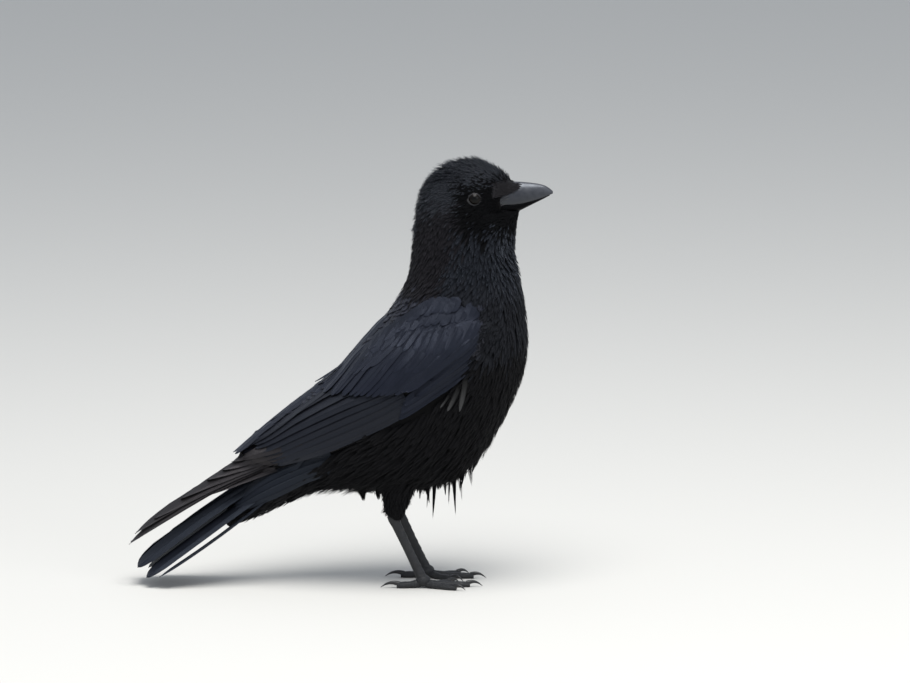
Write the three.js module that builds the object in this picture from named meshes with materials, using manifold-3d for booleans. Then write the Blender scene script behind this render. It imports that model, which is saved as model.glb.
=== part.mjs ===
// A carrion crow, life size, standing with its wings folded: a still museum model.
// Units are millimetres. +X points forwards (to the bill), +Y to the bird's left, +Z up.
// While it is built, x = 0 is midway between the feet and z = 0 is the floor; the last lines
// move the whole bird so that the origin is at the middle of its footprint box, on the floor.
import * as THREE from "three";
import { mergeVertices } from "three/addons/utils/BufferGeometryUtils.js";
import Module from "manifold-3d";

const wasm = await Module();
wasm.setup();

// ---------------------------------------------------------------- driving dimensions

const GAP = 0.3; // clearance between two pieces that meet
const RIGHT = -1; // side factors for y
const LEFT = 1;

// The plumage outline, as cross-sections from the face to the tail root. Each section runs from
// a point on the back to a point on the front, both [x, z], and is an oval of this half width.
const BODY = [
  { at: "culmen feathers", back: [79.7, 336.2], front: [78.0, 312.5], half: 5.4 },
  { at: "forehead", back: [72.0, 339.4], front: [77.6, 311.4], half: 8.4 },
  { at: "lores", back: [65.4, 344.6], front: [77.2, 309.8], half: 11.2 },
  { at: "brow", back: [55.6, 350.8], front: [76.8, 307.4], half: 15.0 },
  { at: "crown", back: [37.4, 356.2], front: [76.4, 304.4], half: 18.8 },
  { at: "hind crown", back: [17.4, 350.6], front: [75.9, 300.4], half: 21.4 },
  { at: "occiput", back: [2.5, 336.0], front: [75.4, 295.6], half: 24.2 },
  { at: "nape", back: [-5.0, 312.5], front: [74.4, 288.0], half: 28.0 },
  { at: "mid neck", back: [-10.0, 284.0], front: [74.2, 276.6], half: 32.0 },
  { at: "neck base", back: [-12.9, 260.0], front: [78.0, 260.4], half: 37.5 },
  { at: "shoulders", back: [-21.6, 242.0], front: [82.4, 236.0], half: 44.0 },
  { at: "mantle", back: [-35.7, 222.6], front: [85.6, 205.0], half: 49.0 },
  { at: "breast", back: [-56.4, 200.0], front: [81.8, 175.6], half: 52.0 },
  { at: "mid back", back: [-75.5, 175.6], front: [68.9, 145.3], half: 51.5 },
  { at: "rump", back: [-92.0, 152.0], front: [52.3, 115.1], half: 49.0 },
  { at: "belly", back: [-103.0, 131.0], front: [25.7, 89.0], half: 44.5 },
  { at: "thighs", back: [-110.0, 115.0], front: [-16.6, 80.0], half: 37.0 },
  { at: "vent", back: [-113.0, 103.0], front: [-60.6, 82.3], half: 28.0 },
  { at: "tail root", back: [-112.0, 94.0], front: [-84.0, 79.6], half: 19.0 },
];
const HEAD_END = 6.75; // where the head ends and the neck begins, counted in sections
const NECK_END = 9.8; // where the neck ends and the trunk begins
const BODY_SQUARENESS = 2.15; // 2 is an ellipse, more is squarer

// The feathers round the root of the tail, above and below it, from the trunk to their tips.
const TAIL_COVERTS = [
  { at: "rump", back: [-100.0, 127.0], front: [-74.0, 83.0], half: 27.0 },
  { at: "root", back: [-118.0, 113.0], front: [-98.7, 75.2], half: 24.0 },
  { at: "middle", back: [-136.0, 97.0], front: [-126.0, 62.8], half: 20.5 },
  { at: "rear", back: [-152.0, 80.0], front: [-149.0, 53.0], half: 15.0 },
  { at: "tips", back: [-164.0, 67.0], front: [-164.6, 47.6], half: 9.0 },
];

// Eye: a ball whose middle is sunk in the head, so that a disc about 10 mm across shows.
const EYE = { x: 41.1, out: 17.4, z: 325.9, radius: 6.4 };

// Bill: heights of its three profile lines at each x, and its half width there.
const BILL = [
  { x: 53.5, culmen: 335.0, mouth: 319.4, chin: 311.5, half: 9.2 },
  { x: 63.0, culmen: 337.2, mouth: 318.9, chin: 310.9, half: 8.6 },
  { x: 71.4, culmen: 337.8, mouth: 319.1, chin: 311.7, half: 7.8 },
  { x: 79.0, culmen: 337.5, mouth: 319.9, chin: 313.6, half: 6.9 },
  { x: 86.0, culmen: 336.9, mouth: 321.4, chin: 317.2, half: 5.8 },
  { x: 93.0, culmen: 336.0, mouth: 323.4, chin: 320.7, half: 4.5 },
  { x: 98.8, culmen: 334.6, mouth: 325.3, chin: 323.6, half: 3.2 },
  { x: 103.0, culmen: 332.2, mouth: 326.9, chin: 325.9, half: 1.9 },
  { x: 105.6, culmen: 329.8, mouth: 327.8, chin: 327.3, half: 0.7 },
];
const MANDIBLE_END_X = 103.6; // the upper half of the bill overhangs the lower
const GAPE = { x: 54.5, z: 319.3 }; // corner of the mouth
const FACE_CUT = { lift: 6.5, half: 17 }; // the bare strip beside the bill, from the gape forwards

// Folded wing: sections from the wrist to the tips of the tertials. Each runs from an upper to a
// lower edge, [x, z, distance out from the midline], and bulges outwards between them.
const WING = [
  { at: "wrist", upper: [53.5, 226.0, 43.0], lower: [50.5, 211.0, 46.0], bulge: 2.5 },
  { at: "hand", upper: [38.0, 227.9, 48.0], lower: [35.6, 193.2, 50.5], bulge: 5.0 },
  { at: "forearm", upper: [12.5, 220.0, 49.5], lower: [9.1, 170.0, 51.5], bulge: 7.0 },
  { at: "coverts", upper: [-16.6, 211.0, 43.0], lower: [-20.8, 146.0, 49.5], bulge: 9.5 },
  { at: "greater coverts", upper: [-44.8, 195.6, 29.0], lower: [-49.8, 131.3, 44.5], bulge: 13.0 },
  { at: "secondaries", upper: [-74.7, 176.0, 10.0], lower: [-78.9, 116.0, 38.0], bulge: 16.0 },
  { at: "tertials", upper: [-102.0, 157.2, 4.5], lower: [-107.0, 108.5, 29.0], bulge: 14.0 },
  { at: "tertial ends", upper: [-124.5, 139.4, 3.2], lower: [-127.0, 101.5, 22.0], bulge: 10.0 },
  { at: "last tertial", upper: [-143.0, 123.6, 3.0], lower: [-142.0, 104.5, 16.0], bulge: 6.0 },
  { at: "tertial tip", upper: [-153.8, 113.8, 3.4], lower: [-152.5, 109.3, 8.0], bulge: 1.5 },
];
const WING_THICKNESS = 6.0;
const COVERTS_END = 4.0; // where the coverts end and the secondaries begin, counted in sections

// Primaries: a narrow stack from under the secondaries to the wing tip. The upper edge steps
// down at the end of each feather in the stack.
const PRIMARIES = [
  { at: "under the secondaries", x: -120, upper: 119.0, lower: 107.5 },
  { at: "under the tertials", x: -140, upper: 115.5, lower: 96.2 },
  { at: "clear of the tertials", x: -160, upper: 102.5, lower: 84.7 },
  { at: "fourth tip", x: -178, upper: 89.5, lower: 74.6 },
  { at: "fifth feather", x: -180.5, upper: 86.4, lower: 73.3 },
  { at: "fifth tip", x: -200, upper: 74.2, lower: 62.4 },
  { at: "sixth feather", x: -202.5, upper: 71.0, lower: 60.9 },
  { at: "sixth tip", x: -222, upper: 58.2, lower: 49.5 },
  { at: "seventh feather", x: -224.5, upper: 55.0, lower: 47.8 },
  { at: "seventh tip", x: -238, upper: 44.8, lower: 39.2 },
  { at: "eighth feather", x: -240, upper: 42.2, lower: 38.0 },
  { at: "wing tip", x: -246, upper: 36.2, lower: 34.4 },
];
const PRIMARY_OUT = { root: 23.0, tip: 11.5 }; // distance out from the midline at the two ends
const PRIMARY_SAG = 2.5; // how far the middle of the stack bulges outwards
const VANE_THICKNESS = 1.8;

// Tail: six pairs of feathers in a tent that slopes down by TAIL_DIP degrees; the outer ones are
// shorter, lower and fanned.
const TAIL_ROOT = { x: -86.0, z: 120.0 };
const TAIL_DIP = 34.6;
const TAIL_PAIRS = 6;
const TAIL_LENGTH = 186;
const TAIL_OUTER_SHORTER = 21;
const TAIL_FAN = 5.6; // degrees between the midline and the outer edge
const TAIL_ROOT_HALF = 14;
const TAIL_ROOT_DROOP = 8; // how far the outer edge lies below the middle, at the root
const TAIL_DROOP = 18; // and at the tip
const TAIL_BOW = 4.0;
const TAIL_NOTCH = 3.5; // depth of the notches between the feather tips
const TAIL_THICKNESS = 2.2;

// Legs: the left foot stands a little in front of the right one.
const FOOT_OUT = 22;
const LEGS = [
  { name: "right", side: RIGHT, footX: -0.8 },
  { name: "left", side: LEFT, footX: 2.6 },
];
const ANKLE_BACK = 23.6; // the ankle's x behind the foot
const ANKLE_Z = 60.5;
const FOOT_Z = 6.2; // the middle of the foot's hub above the floor
const HUB_RADIUS = 5.4;
// Feathered shin, from inside the trunk down to the ankle: half depth along x, half width along y.
const SHIN = [
  { rise: 46, x: -1.0, out: 20.0, depth: 20.0, width: 15.0 },
  { rise: 28, x: 0.0, out: 21.0, depth: 16.5, width: 12.5 },
  { rise: 17, x: 0.5, out: 21.5, depth: 12.6, width: 9.8 },
  { rise: 9, x: 0.2, out: 22.0, depth: 9.2, width: 7.2 },
  { rise: 2, x: 0.0, out: 22.0, depth: 7.4, width: 5.6 },
  { rise: -3, x: 0.6, out: 22.0, depth: 4.6, width: 3.9 },
];
// Bare shank, as shares of the way from the ankle to the foot.
const SHANK = [
  { share: -0.02, depth: 4.2, width: 3.4 },
  { share: 0.05, depth: 4.7, width: 3.8 },
  { share: 0.14, depth: 4.0, width: 3.0 },
  { share: 0.5, depth: 3.6, width: 2.6 },
  { share: 0.85, depth: 3.9, width: 3.1 },
  { share: 1.0, depth: 4.6, width: 4.6 },
];
// Toes: turn is the angle outwards from straight ahead, in degrees.
const TOES = [
  { name: "middle_toe", turn: -5, length: 37, radius: 2.9, claw: 12 },
  { name: "inner_toe", turn: -33, length: 25, radius: 2.7, claw: 10.5 },
  { name: "outer_toe", turn: 24, length: 28, radius: 2.6, claw: 10 },
  { name: "hallux", turn: 176, length: 20, radius: 3.1, claw: 15 },
];
const TOE_FLAT = 0.72; // height of a toe's axis above the floor, as a share of its radius
const CLAW_TIP_Z = 1.2;

// Wet tufts that hang from the belly: root and tip as [x, z], and distance out.
const BELLY_TUFTS = [
  { root: [44.5, 107.0], tip: [37.5, 91.5], out: -4 },
  { root: [33.0, 97.0], tip: [27.5, 77.5], out: -13 },
  { root: [24.5, 93.0], tip: [25.5, 57.5], out: -9 },
  { root: [16.5, 90.0], tip: [17.0, 71.5], out: 7 },
  { root: [8.0, 90.0], tip: [6.2, 55.0], out: -6 },
  { root: [1.0, 88.0], tip: [5.4, 66.0], out: -12 },
];
const TUFT_RADIUS = 3.2;

// ---------------------------------------------------------------- colours

const BLACK = { color: 0x121217, roughness: 0.62, metalness: 0 };
const GLOSSY_BLACK = { color: 0x16171f, roughness: 0.45, metalness: 0 };
const HORN = { color: 0x26272b, roughness: 0.38, metalness: 0 };
const SCALY = { color: 0x1d1e22, roughness: 0.5, metalness: 0 };
const EYEBALL = { color: 0x1a110c, roughness: 0.08, metalness: 0 };

// ---------------------------------------------------------------- solids

// The first solid without any of the others.
function minus(made, others) {
  return others.reduce((left, other) => left.subtract(other), made);
}

// The largest of the separate bodies that a cut has left.
function largest(made) {
  return made.decompose().reduce((best, one) => (one.volume() > best.volume() ? one : best));
}

// A closed three.js geometry as a manifold-3d solid.
function solid(geometry) {
  const bare = geometry.clone();
  bare.deleteAttribute("normal");
  bare.deleteAttribute("uv");
  const merged = mergeVertices(bare, 1e-3);
  return new wasm.Manifold(
    new wasm.Mesh({
      numProp: 3,
      vertProperties: new Float32Array(merged.attributes.position.array),
      triVerts: new Uint32Array(merged.index.array),
    }),
  );
}

// A manifold-3d solid as a three.js geometry.
function geometryOf(made) {
  const mesh = made.getMesh();
  const geometry = new THREE.BufferGeometry();
  geometry.setAttribute("position", new THREE.BufferAttribute(new Float32Array(mesh.vertProperties), 3));
  geometry.setIndex(new THREE.BufferAttribute(new Uint32Array(mesh.triVerts), 1));
  geometry.computeVertexNormals();
  return geometry;
}

// Joins rings of points, each the same length, into one closed geometry. Each end is closed by
// rungs across its ring: point j to the point as far before the ring's end, less the offset.
function loft(rings, offset = 0) {
  const sides = rings[0].length;
  const points = rings.flat();
  const index = [];
  for (let i = 0; i + 1 < rings.length; i += 1) {
    for (let j = 0; j < sides; j += 1) {
      const a = i * sides + j;
      const b = i * sides + ((j + 1) % sides);
      index.push(a, b, b + sides, a, b + sides, a + sides);
    }
  }
  const cap = (start, flip) => {
    for (let j = 0; j + 1 <= (sides - offset) / 2; j += 1) {
      const quad = [j, j + 1, sides - offset - j - 1, (sides - offset - j) % sides].map((k) => start + k);
      const halves = [quad.slice(0, 3), [quad[0], quad[2], quad[3]]];
      halves
        .filter((t) => new Set(t).size === 3)
        .forEach(([p, q, r]) => index.push(...(flip ? [r, q, p] : [p, q, r])));
    }
  };
  cap(0, true);
  cap((rings.length - 1) * sides, false);
  let volume = 0;
  for (let k = 0; k < index.length; k += 3) {
    const [a, b, c] = [points[index[k]], points[index[k + 1]], points[index[k + 2]]];
    volume += a.dot(new THREE.Vector3().crossVectors(b, c));
  }
  const outward = volume > 0 ? index : index.slice().reverse();
  return new THREE.BufferGeometry().setFromPoints(points).setIndex(outward);
}

// One closed oval: centre, two half axes as vectors, and how square it is.
function oval(centre, up, across, sides, squareness = 2) {
  const bend = (value) => Math.sign(value) * Math.abs(value) ** (2 / squareness);
  return Array.from({ length: sides }, (_, j) => {
    const angle = (2 * Math.PI * j) / sides;
    const [rise, reach] = [bend(Math.cos(angle)), bend(Math.sin(angle))];
    return centre.clone().addScaledVector(up, rise).addScaledVector(across, reach);
  });
}

// A smooth curve through the same entry of every section, read at a fractional section number.
function along(sections, pick) {
  const curve = new THREE.CatmullRomCurve3(sections.map((s) => new THREE.Vector3(...pick(s))));
  return (place) => curve.getPoint(place / (sections.length - 1));
}

// Section numbers from start to end, close enough together for a smooth surface.
function places(start, end, step) {
  const count = Math.max(1, Math.round((end - start) / step));
  return Array.from({ length: count + 1 }, (_, i) => start + ((end - start) * i) / count);
}

// ---------------------------------------------------------------- body

// The rings of a plumage loft between two section numbers. grow widens it all round.
function plumage(sections, start, end, { grow = 0, step = 0.6, sides = 22 } = {}) {
  const back = along(sections, (s) => [s.back[0], 0, s.back[1]]);
  const front = along(sections, (s) => [s.front[0], 0, s.front[1]]);
  const half = along(sections, (s) => [s.half, 0, 0]);
  return places(start, end, step).map((place) => {
    const [b, f] = [back(place), front(place)];
    const up = b.clone().sub(f).multiplyScalar(0.5);
    const length = up.length();
    const centre = b.clone().add(f).multiplyScalar(0.5);
    const across = new THREE.Vector3(0, half(place).x + grow, 0);
    return oval(centre, up.multiplyScalar((length + grow) / length), across, sides, BODY_SQUARENESS);
  });
}

// Moves a loft's first ring away from its neighbour's last one, so that the two keep the gap.
function stepBack(rings, distance) {
  const shift = new THREE.Vector3(0, 0, -distance);
  rings[0].forEach((p) => p.add(shift));
  return rings;
}

const bodyEnd = BODY.length - 1;
const headLoft = solid(loft(plumage(BODY, 0, HEAD_END, { step: 0.5 })));
const neckLoft = solid(loft(stepBack(plumage(BODY, HEAD_END, NECK_END), GAP)));
const trunkLoft = solid(loft(stepBack(plumage(BODY, NECK_END, bodyEnd), GAP)));
const grownTrunk = solid(loft(plumage(BODY, NECK_END - 0.02, bodyEnd, { grow: GAP })));
const grownNeck = solid(loft(plumage(BODY, HEAD_END - 0.02, NECK_END + 0.02, { grow: GAP })));

// A tapering wet tuft of belly feathers.
function tuft({ root, tip, out }) {
  const from = new THREE.Vector3(root[0], out, root[1]);
  const to = new THREE.Vector3(tip[0], out, tip[1]);
  const length = from.distanceTo(to);
  const cone = new THREE.CylinderGeometry(0.35, TUFT_RADIUS, length, 6, 1);
  cone.applyQuaternion(
    new THREE.Quaternion().setFromUnitVectors(new THREE.Vector3(0, 1, 0), to.clone().sub(from).normalize()),
  );
  return solid(cone.translate(...from.add(to).multiplyScalar(0.5).toArray()));
}

const tufts = BELLY_TUFTS.map((one) => largest(minus(tuft(one), [grownTrunk])));
const tailCovertsLoft = solid(loft(plumage(TAIL_COVERTS, 0, TAIL_COVERTS.length - 1, { sides: 18 })));
const grownTailCoverts = solid(
  loft(plumage(TAIL_COVERTS, 0, TAIL_COVERTS.length - 1, { grow: GAP, sides: 18 })),
);
const tailCoverts = tailCovertsLoft.subtract(grownTrunk);

// ---------------------------------------------------------------- head: bill and eyes

// A half of the bill between two of its profile lines, drawn in to a rounded ridge at one of them.
function billHalf(top, bottom, { endX = Infinity, ridgeUp = true, grow = 0 } = {}) {
  const line = (name) => along(BILL, (s) => [s.x, 0, s[name]]);
  const [upper, lower, half] = [line(top), line(bottom), along(BILL, (s) => [s.half, 0, 0])];
  const rings = [];
  for (const place of BILL.keys()) {
    const [u, l] = [upper(place), lower(place)];
    if (u.x > endX) break;
    const tall = u.z - l.z + 2 * grow;
    const wide = half(place).x + grow;
    const ridge = ridgeUp ? u.z + grow : l.z - grow;
    const towards = ridgeUp ? -1 : 1;
    const shape = [
      [0, 0],
      [0.42, 0.07],
      [0.78, 0.28],
      [0.97, 0.62],
      [1, 0.9],
      [0.94, 1],
    ];
    const side = shape.map(([w, h]) => new THREE.Vector3(u.x, w * wide, ridge + towards * h * tall));
    const other = side.slice(1).reverse().map((p) => p.clone().setY(-p.y));
    rings.push([...side, ...other]);
  }
  return solid(loft(rings));
}

// The strip beside the bill that stays bare of feathers, from the gape forwards.
const faceCutter = (() => {
  const box = new THREE.BoxGeometry(60, 2 * FACE_CUT.half, 2 * FACE_CUT.lift);
  box.translate(GAPE.x + 30, 0, GAPE.z);
  return solid(box);
})();

const upperBill = billHalf("culmen", "mouth");
const lowerBill = billHalf("mouth", "chin", { endX: MANDIBLE_END_X, ridgeUp: false }).translate([0, 0, -GAP]);

function eyeball(side, radius) {
  const ball = new THREE.SphereGeometry(radius, 14, 8);
  ball.translate(EYE.x, side * EYE.out, EYE.z);
  return solid(ball);
}

// The face keeps its feathers above and below the bill, and is open beside it.
const grownBill = billHalf("culmen", "mouth", { grow: GAP })
  .add(billHalf("mouth", "chin", { grow: GAP, ridgeUp: false }))
  .add(billHalf("mouth", "chin", { grow: GAP, ridgeUp: false }).translate([0, 0, -GAP]));
const head = headLoft
  .subtract(faceCutter)
  .subtract(grownBill)
  .subtract(eyeball(RIGHT, EYE.radius + GAP))
  .subtract(eyeball(LEFT, EYE.radius + GAP));

// ---------------------------------------------------------------- wings and tail

// A folded wing between two section numbers: a crescent, thickest in the middle of its height.
function wingShell(side, start, end, { grow = 0, step = 0.5 } = {}) {
  const upper = along(WING, (s) => s.upper);
  const lower = along(WING, (s) => s.lower);
  const bulge = along(WING, (s) => [s.bulge, 0, 0]);
  const rings = places(start, end, step).map((place) => {
    const [u, l, b] = [upper(place), lower(place), bulge(place).x];
    const [top, bottom] = [u, l].map((p) => new THREE.Vector3(p.x, side * p.z, p.y));
    const down = bottom.clone().sub(top);
    const outwards = new THREE.Vector3(1, 0, 0).cross(down).normalize().multiplyScalar(side);
    const margin = down.clone().normalize().multiplyScalar(grow);
    const line = (inward, trim) =>
      [trim, 0.12, 0.3, 0.5, 0.7, 0.88, 1 - trim].map((share) =>
        top
          .clone()
          .addScaledVector(down, share)
          .addScaledVector(margin, 2 * share - 1)
          .addScaledVector(outwards, b * Math.sin(Math.PI * share) ** 0.8 - inward),
      );
    const outer = line(-grow, 0);
    const inner = line(WING_THICKNESS + grow, 0.03).reverse();
    return [...outer, ...inner];
  });
  return solid(loft(rings, 1));
}

// A fan of stiff feathers as one thin plate. Each feather is a strip from root to tip, with the
// vector from its middle to its edge, and ends in a rounded tip.
function fan(strips, { thickness, bow, notch }) {
  const rings = [];
  strips.forEach(({ root, tip, edge, tipEdge, normal }) => {
    const run = tip.clone().sub(root);
    const full = run.length();
    for (const across of [-1, 0, 1]) {
      const length = across === 0 ? full : full - notch;
      const line = [0, 0.5, 0.93, 1].map((share) => {
        const reach = (share * length) / full;
        const width = edge.clone().lerp(tipEdge, reach).multiplyScalar(across * (share === 1 ? 0.8 : 1));
        const lift = bow * Math.sin(Math.PI * reach);
        return root.clone().addScaledVector(run, reach).add(width).addScaledVector(normal, lift);
      });
      const offset = normal.clone().multiplyScalar(thickness / 2);
      const top = line.map((p) => p.clone().add(offset));
      const under = line.map((p) => p.clone().sub(offset)).reverse();
      rings.push([...top, ...under]);
    }
  });
  return solid(loft(rings, 1));
}

function primaries(side) {
  const [first, last] = [PRIMARIES[0].x, PRIMARIES[PRIMARIES.length - 1].x];
  const rings = PRIMARIES.map(({ x, upper, lower }) => {
    const share = (x - first) / (last - first);
    const out = THREE.MathUtils.lerp(PRIMARY_OUT.root, PRIMARY_OUT.tip, share);
    const bulge = PRIMARY_SAG * Math.sin(Math.PI * share);
    const line = (inward) =>
      [0, 0.5, 1].map((rise) => {
        const crown = 1 - (2 * rise - 1) ** 2;
        const y = out + bulge + crown - inward;
        return new THREE.Vector3(x, side * y, THREE.MathUtils.lerp(lower, upper, rise));
      });
    return [...line(0), ...line(VANE_THICKNESS).reverse()];
  });
  return solid(loft(rings, 1));
}

function tailFan() {
  const dip = THREE.MathUtils.degToRad(TAIL_DIP);
  const widening = TAIL_LENGTH * Math.sin(THREE.MathUtils.degToRad(TAIL_FAN));
  const rootHalf = TAIL_ROOT_HALF / TAIL_PAIRS / 2;
  const tipHalf = (TAIL_ROOT_HALF + widening) / TAIL_PAIRS / 2;
  const strips = [];
  for (let i = 0; i < 2 * TAIL_PAIRS; i += 1) {
    const share = (i + 0.5) / TAIL_PAIRS - 1;
    const away = Math.abs(share);
    const turned = THREE.MathUtils.degToRad(TAIL_FAN * share);
    const spread = new THREE.Vector3(0, TAIL_ROOT_HALF * share, -TAIL_ROOT_DROOP * away ** 1.3);
    const root = new THREE.Vector3(TAIL_ROOT.x, 0, TAIL_ROOT.z).add(spread);
    const length = TAIL_LENGTH - TAIL_OUTER_SHORTER * away ** 2;
    const run = new THREE.Vector3(-Math.cos(dip) * Math.cos(turned), Math.sin(turned), -Math.sin(dip));
    const tip = root.clone().addScaledVector(run, length);
    tip.z -= (TAIL_DROOP - TAIL_ROOT_DROOP) * away ** 1.3;
    const slope = -Math.sign(share) * 0.75 * away ** 0.3;
    strips.push({
      root,
      tip,
      edge: new THREE.Vector3(0, rootHalf, rootHalf * slope).multiplyScalar(0.96),
      tipEdge: new THREE.Vector3(0, tipHalf, tipHalf * slope).multiplyScalar(0.96),
      normal: new THREE.Vector3(Math.sin(dip), 0, Math.cos(dip)),
    });
  }
  return fan(strips, { thickness: TAIL_THICKNESS, bow: TAIL_BOW, notch: TAIL_NOTCH });
}

const beyond = (side) => solid(new THREE.BoxGeometry(900, 80, 900).translate(0, -side * (40 - GAP / 2), 0));
const wingCutters = [grownTrunk, grownNeck, grownTailCoverts];
const shells = [RIGHT, LEFT].map((side) => {
  const wing = minus(wingShell(side, 0, COVERTS_END), wingCutters);
  const rear = wingShell(side, COVERTS_END + 0.012, WING.length - 1);
  const secondaries = minus(rear, [...wingCutters, beyond(side)]);
  const grown = wingShell(side, 0, WING.length - 1, { grow: GAP });
  const quills = largest(minus(primaries(side), [...wingCutters, grown]));
  return { side, wing, secondaries, quills };
});
const tail = minus(tailFan(), [grownTrunk, grownTailCoverts]);

// ---------------------------------------------------------------- legs and feet

// A tapering limb through [centre, forward half width, sideways half width].
function limb(stops, sides) {
  return solid(
    loft(
      stops.map(([centre, depth, width]) =>
        oval(centre, new THREE.Vector3(depth, 0, 0), new THREE.Vector3(0, width, 0), sides),
      ),
    ),
  );
}

// A round tube along a path of points with a radius at each, for toes and claws.
function tube(points, radii, sides) {
  const upright = new THREE.Vector3(0, 0, 1);
  const rings = points.map((p, i) => {
    const from = points[Math.max(0, i - 1)];
    const to = points[Math.min(points.length - 1, i + 1)];
    const run = to.clone().sub(from).normalize();
    const across = upright.clone().cross(run).normalize();
    const up = run.clone().cross(across);
    return oval(p, up.multiplyScalar(radii[i]), across.multiplyScalar(radii[i]), sides);
  });
  return solid(loft(rings));
}

const belowFloor = solid(new THREE.BoxGeometry(900, 900, 40).translate(0, 0, -20));

function leg({ name, side, footX }) {
  const ankle = new THREE.Vector3(footX - ANKLE_BACK, side * FOOT_OUT, ANKLE_Z);
  const foot = new THREE.Vector3(footX, side * FOOT_OUT, FOOT_Z);
  const shinStops = (grow) =>
    SHIN.map(({ rise, x, out, depth, width }) => {
      const centre = new THREE.Vector3(ankle.x + x, side * out, ankle.z + rise);
      return [centre, depth + grow, width + grow];
    });
  const shankStops = (grow) =>
    SHANK.map(({ share, depth, width }) => [ankle.clone().lerp(foot, share), depth + grow, width + grow]);
  const hub = (grow) => {
    const ball = new THREE.SphereGeometry(HUB_RADIUS + grow, 10, 6).scale(1.15, 1, 0.95);
    return solid(ball.translate(foot.x, foot.y, foot.z));
  };
  const shin = minus(limb(shinStops(0), 12), [grownTrunk, grownTailCoverts]);
  const shank = minus(limb(shankStops(0), 10).add(hub(0)), [limb(shinStops(GAP), 12), belowFloor]);
  const grownShank = limb(shankStops(GAP), 10).add(hub(GAP));
  const parts = { [`thigh_${name}`]: shin, [`tarsus_${name}`]: shank };
  const taken = [grownShank, belowFloor];
  for (const toe of TOES) {
    const turn = THREE.MathUtils.degToRad(toe.turn);
    const ahead = new THREE.Vector3(Math.cos(turn), side * Math.sin(turn), 0);
    const height = toe.radius * TOE_FLAT;
    const at = (distance, z) => foot.clone().setZ(z).addScaledVector(ahead, distance);
    const reach = toe.length;
    const knuckles = [0.0, 0.25, 0.45, 0.66, 0.86, 1.0];
    const swell = [1.05, 1.1, 0.94, 1.06, 0.96, 0.66];
    const path = knuckles.map((share) => at(2 + reach * share, height + 2.2 * (1 - share) ** 3));
    const radii = swell.map((value) => value * toe.radius);
    const clawRoot = reach + 0.6;
    const arc = [0, 0.25, 0.5, 0.76, 1];
    const clawPath = (lift) =>
      arc.map((share) => {
        const z = height + 1.2 + 3.0 * Math.sin(Math.PI * share * 0.62) - (height + 3.4) * share ** 2;
        return at(clawRoot + toe.claw * share, Math.max(z, CLAW_TIP_Z + lift));
      });
    const clawRadii = (grow) => arc.map((share) => toe.radius * 0.66 * (1 - 0.86 * share) + grow);
    const clawRoom = tube(clawPath(0), clawRadii(GAP), 6);
    parts[`${toe.name}_${name}`] = minus(tube(path, radii, 7), [...taken, clawRoom]);
    parts[`${toe.name}_claw_${name}`] = tube(clawPath(0), clawRadii(0), 6).subtract(belowFloor);
    taken.push(tube(path, radii.map((radius) => radius + GAP), 7));
  }
  return parts;
}

// ---------------------------------------------------------------- the whole bird

const crow = new THREE.Group();
crow.name = "carrion_crow";

function place(name, made, look) {
  const mesh = new THREE.Mesh(geometryOf(made), new THREE.MeshStandardMaterial(look));
  mesh.name = name;
  crow.add(mesh);
}

place("head", head, BLACK);
place("neck", neckLoft, BLACK);
place("trunk", trunkLoft, BLACK);
tufts.forEach((one, i) => place(`belly_tuft_${i + 1}`, one, BLACK));
place("tail_coverts", tailCoverts, BLACK);
place("bill_upper", upperBill, HORN);
place("bill_lower", lowerBill, HORN);
place("tail", tail, GLOSSY_BLACK);
for (const { side, wing, secondaries, quills } of shells) {
  const name = side === RIGHT ? "right" : "left";
  place(`eye_${name}`, eyeball(side, EYE.radius), EYEBALL);
  place(`wing_${name}`, wing, BLACK);
  place(`secondaries_${name}`, secondaries, GLOSSY_BLACK);
  place(`primaries_${name}`, quills, GLOSSY_BLACK);
}
for (const one of LEGS) {
  for (const [name, made] of Object.entries(leg(one))) {
    const look = name.includes("claw") ? HORN : name.includes("thigh") ? BLACK : SCALY;
    place(name, made, look);
  }
}

const box = new THREE.Box3().setFromObject(crow);
const middle = box.getCenter(new THREE.Vector3());
crow.children.forEach((mesh) => mesh.geometry.translate(-middle.x, -middle.y, -box.min.z));

export default crow;
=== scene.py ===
"""A carrion crow, life size, standing with folded wings: skin, plumage, bill, eyes and feet."""
import math

import bmesh
import bpy
import numpy as np
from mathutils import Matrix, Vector
from mathutils.bvhtree import BVHTree
from mathutils.kdtree import KDTree


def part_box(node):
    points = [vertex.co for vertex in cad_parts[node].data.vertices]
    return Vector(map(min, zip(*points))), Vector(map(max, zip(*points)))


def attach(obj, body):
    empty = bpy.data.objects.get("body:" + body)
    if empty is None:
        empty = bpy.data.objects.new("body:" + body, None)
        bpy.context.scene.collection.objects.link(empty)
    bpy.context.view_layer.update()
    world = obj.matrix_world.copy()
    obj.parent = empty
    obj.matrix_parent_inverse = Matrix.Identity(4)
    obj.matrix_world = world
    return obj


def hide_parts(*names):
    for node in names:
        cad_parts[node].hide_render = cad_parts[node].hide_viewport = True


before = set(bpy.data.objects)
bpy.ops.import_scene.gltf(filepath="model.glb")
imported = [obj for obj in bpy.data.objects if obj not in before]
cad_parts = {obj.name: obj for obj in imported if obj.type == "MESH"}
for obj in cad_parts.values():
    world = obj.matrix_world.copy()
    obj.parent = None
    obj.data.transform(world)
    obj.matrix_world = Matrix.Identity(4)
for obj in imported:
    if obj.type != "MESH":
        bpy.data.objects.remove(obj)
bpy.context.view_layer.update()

# ------------------------------------------------------------------ places and sizes
# Places below are in millimetres from the point on the floor midway between the feet: x forwards,
# y to the bird's left, z up. The CAD frame has its origin under the middle of the whole bird.
MM = 0.001
BILL_TIP_X = 105.6
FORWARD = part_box("bill_upper")[1].x / MM - BILL_TIP_X
RIGHT, LEFT = -1, 1
SIDE_NAME = {RIGHT: "right", LEFT: "left"}

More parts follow.
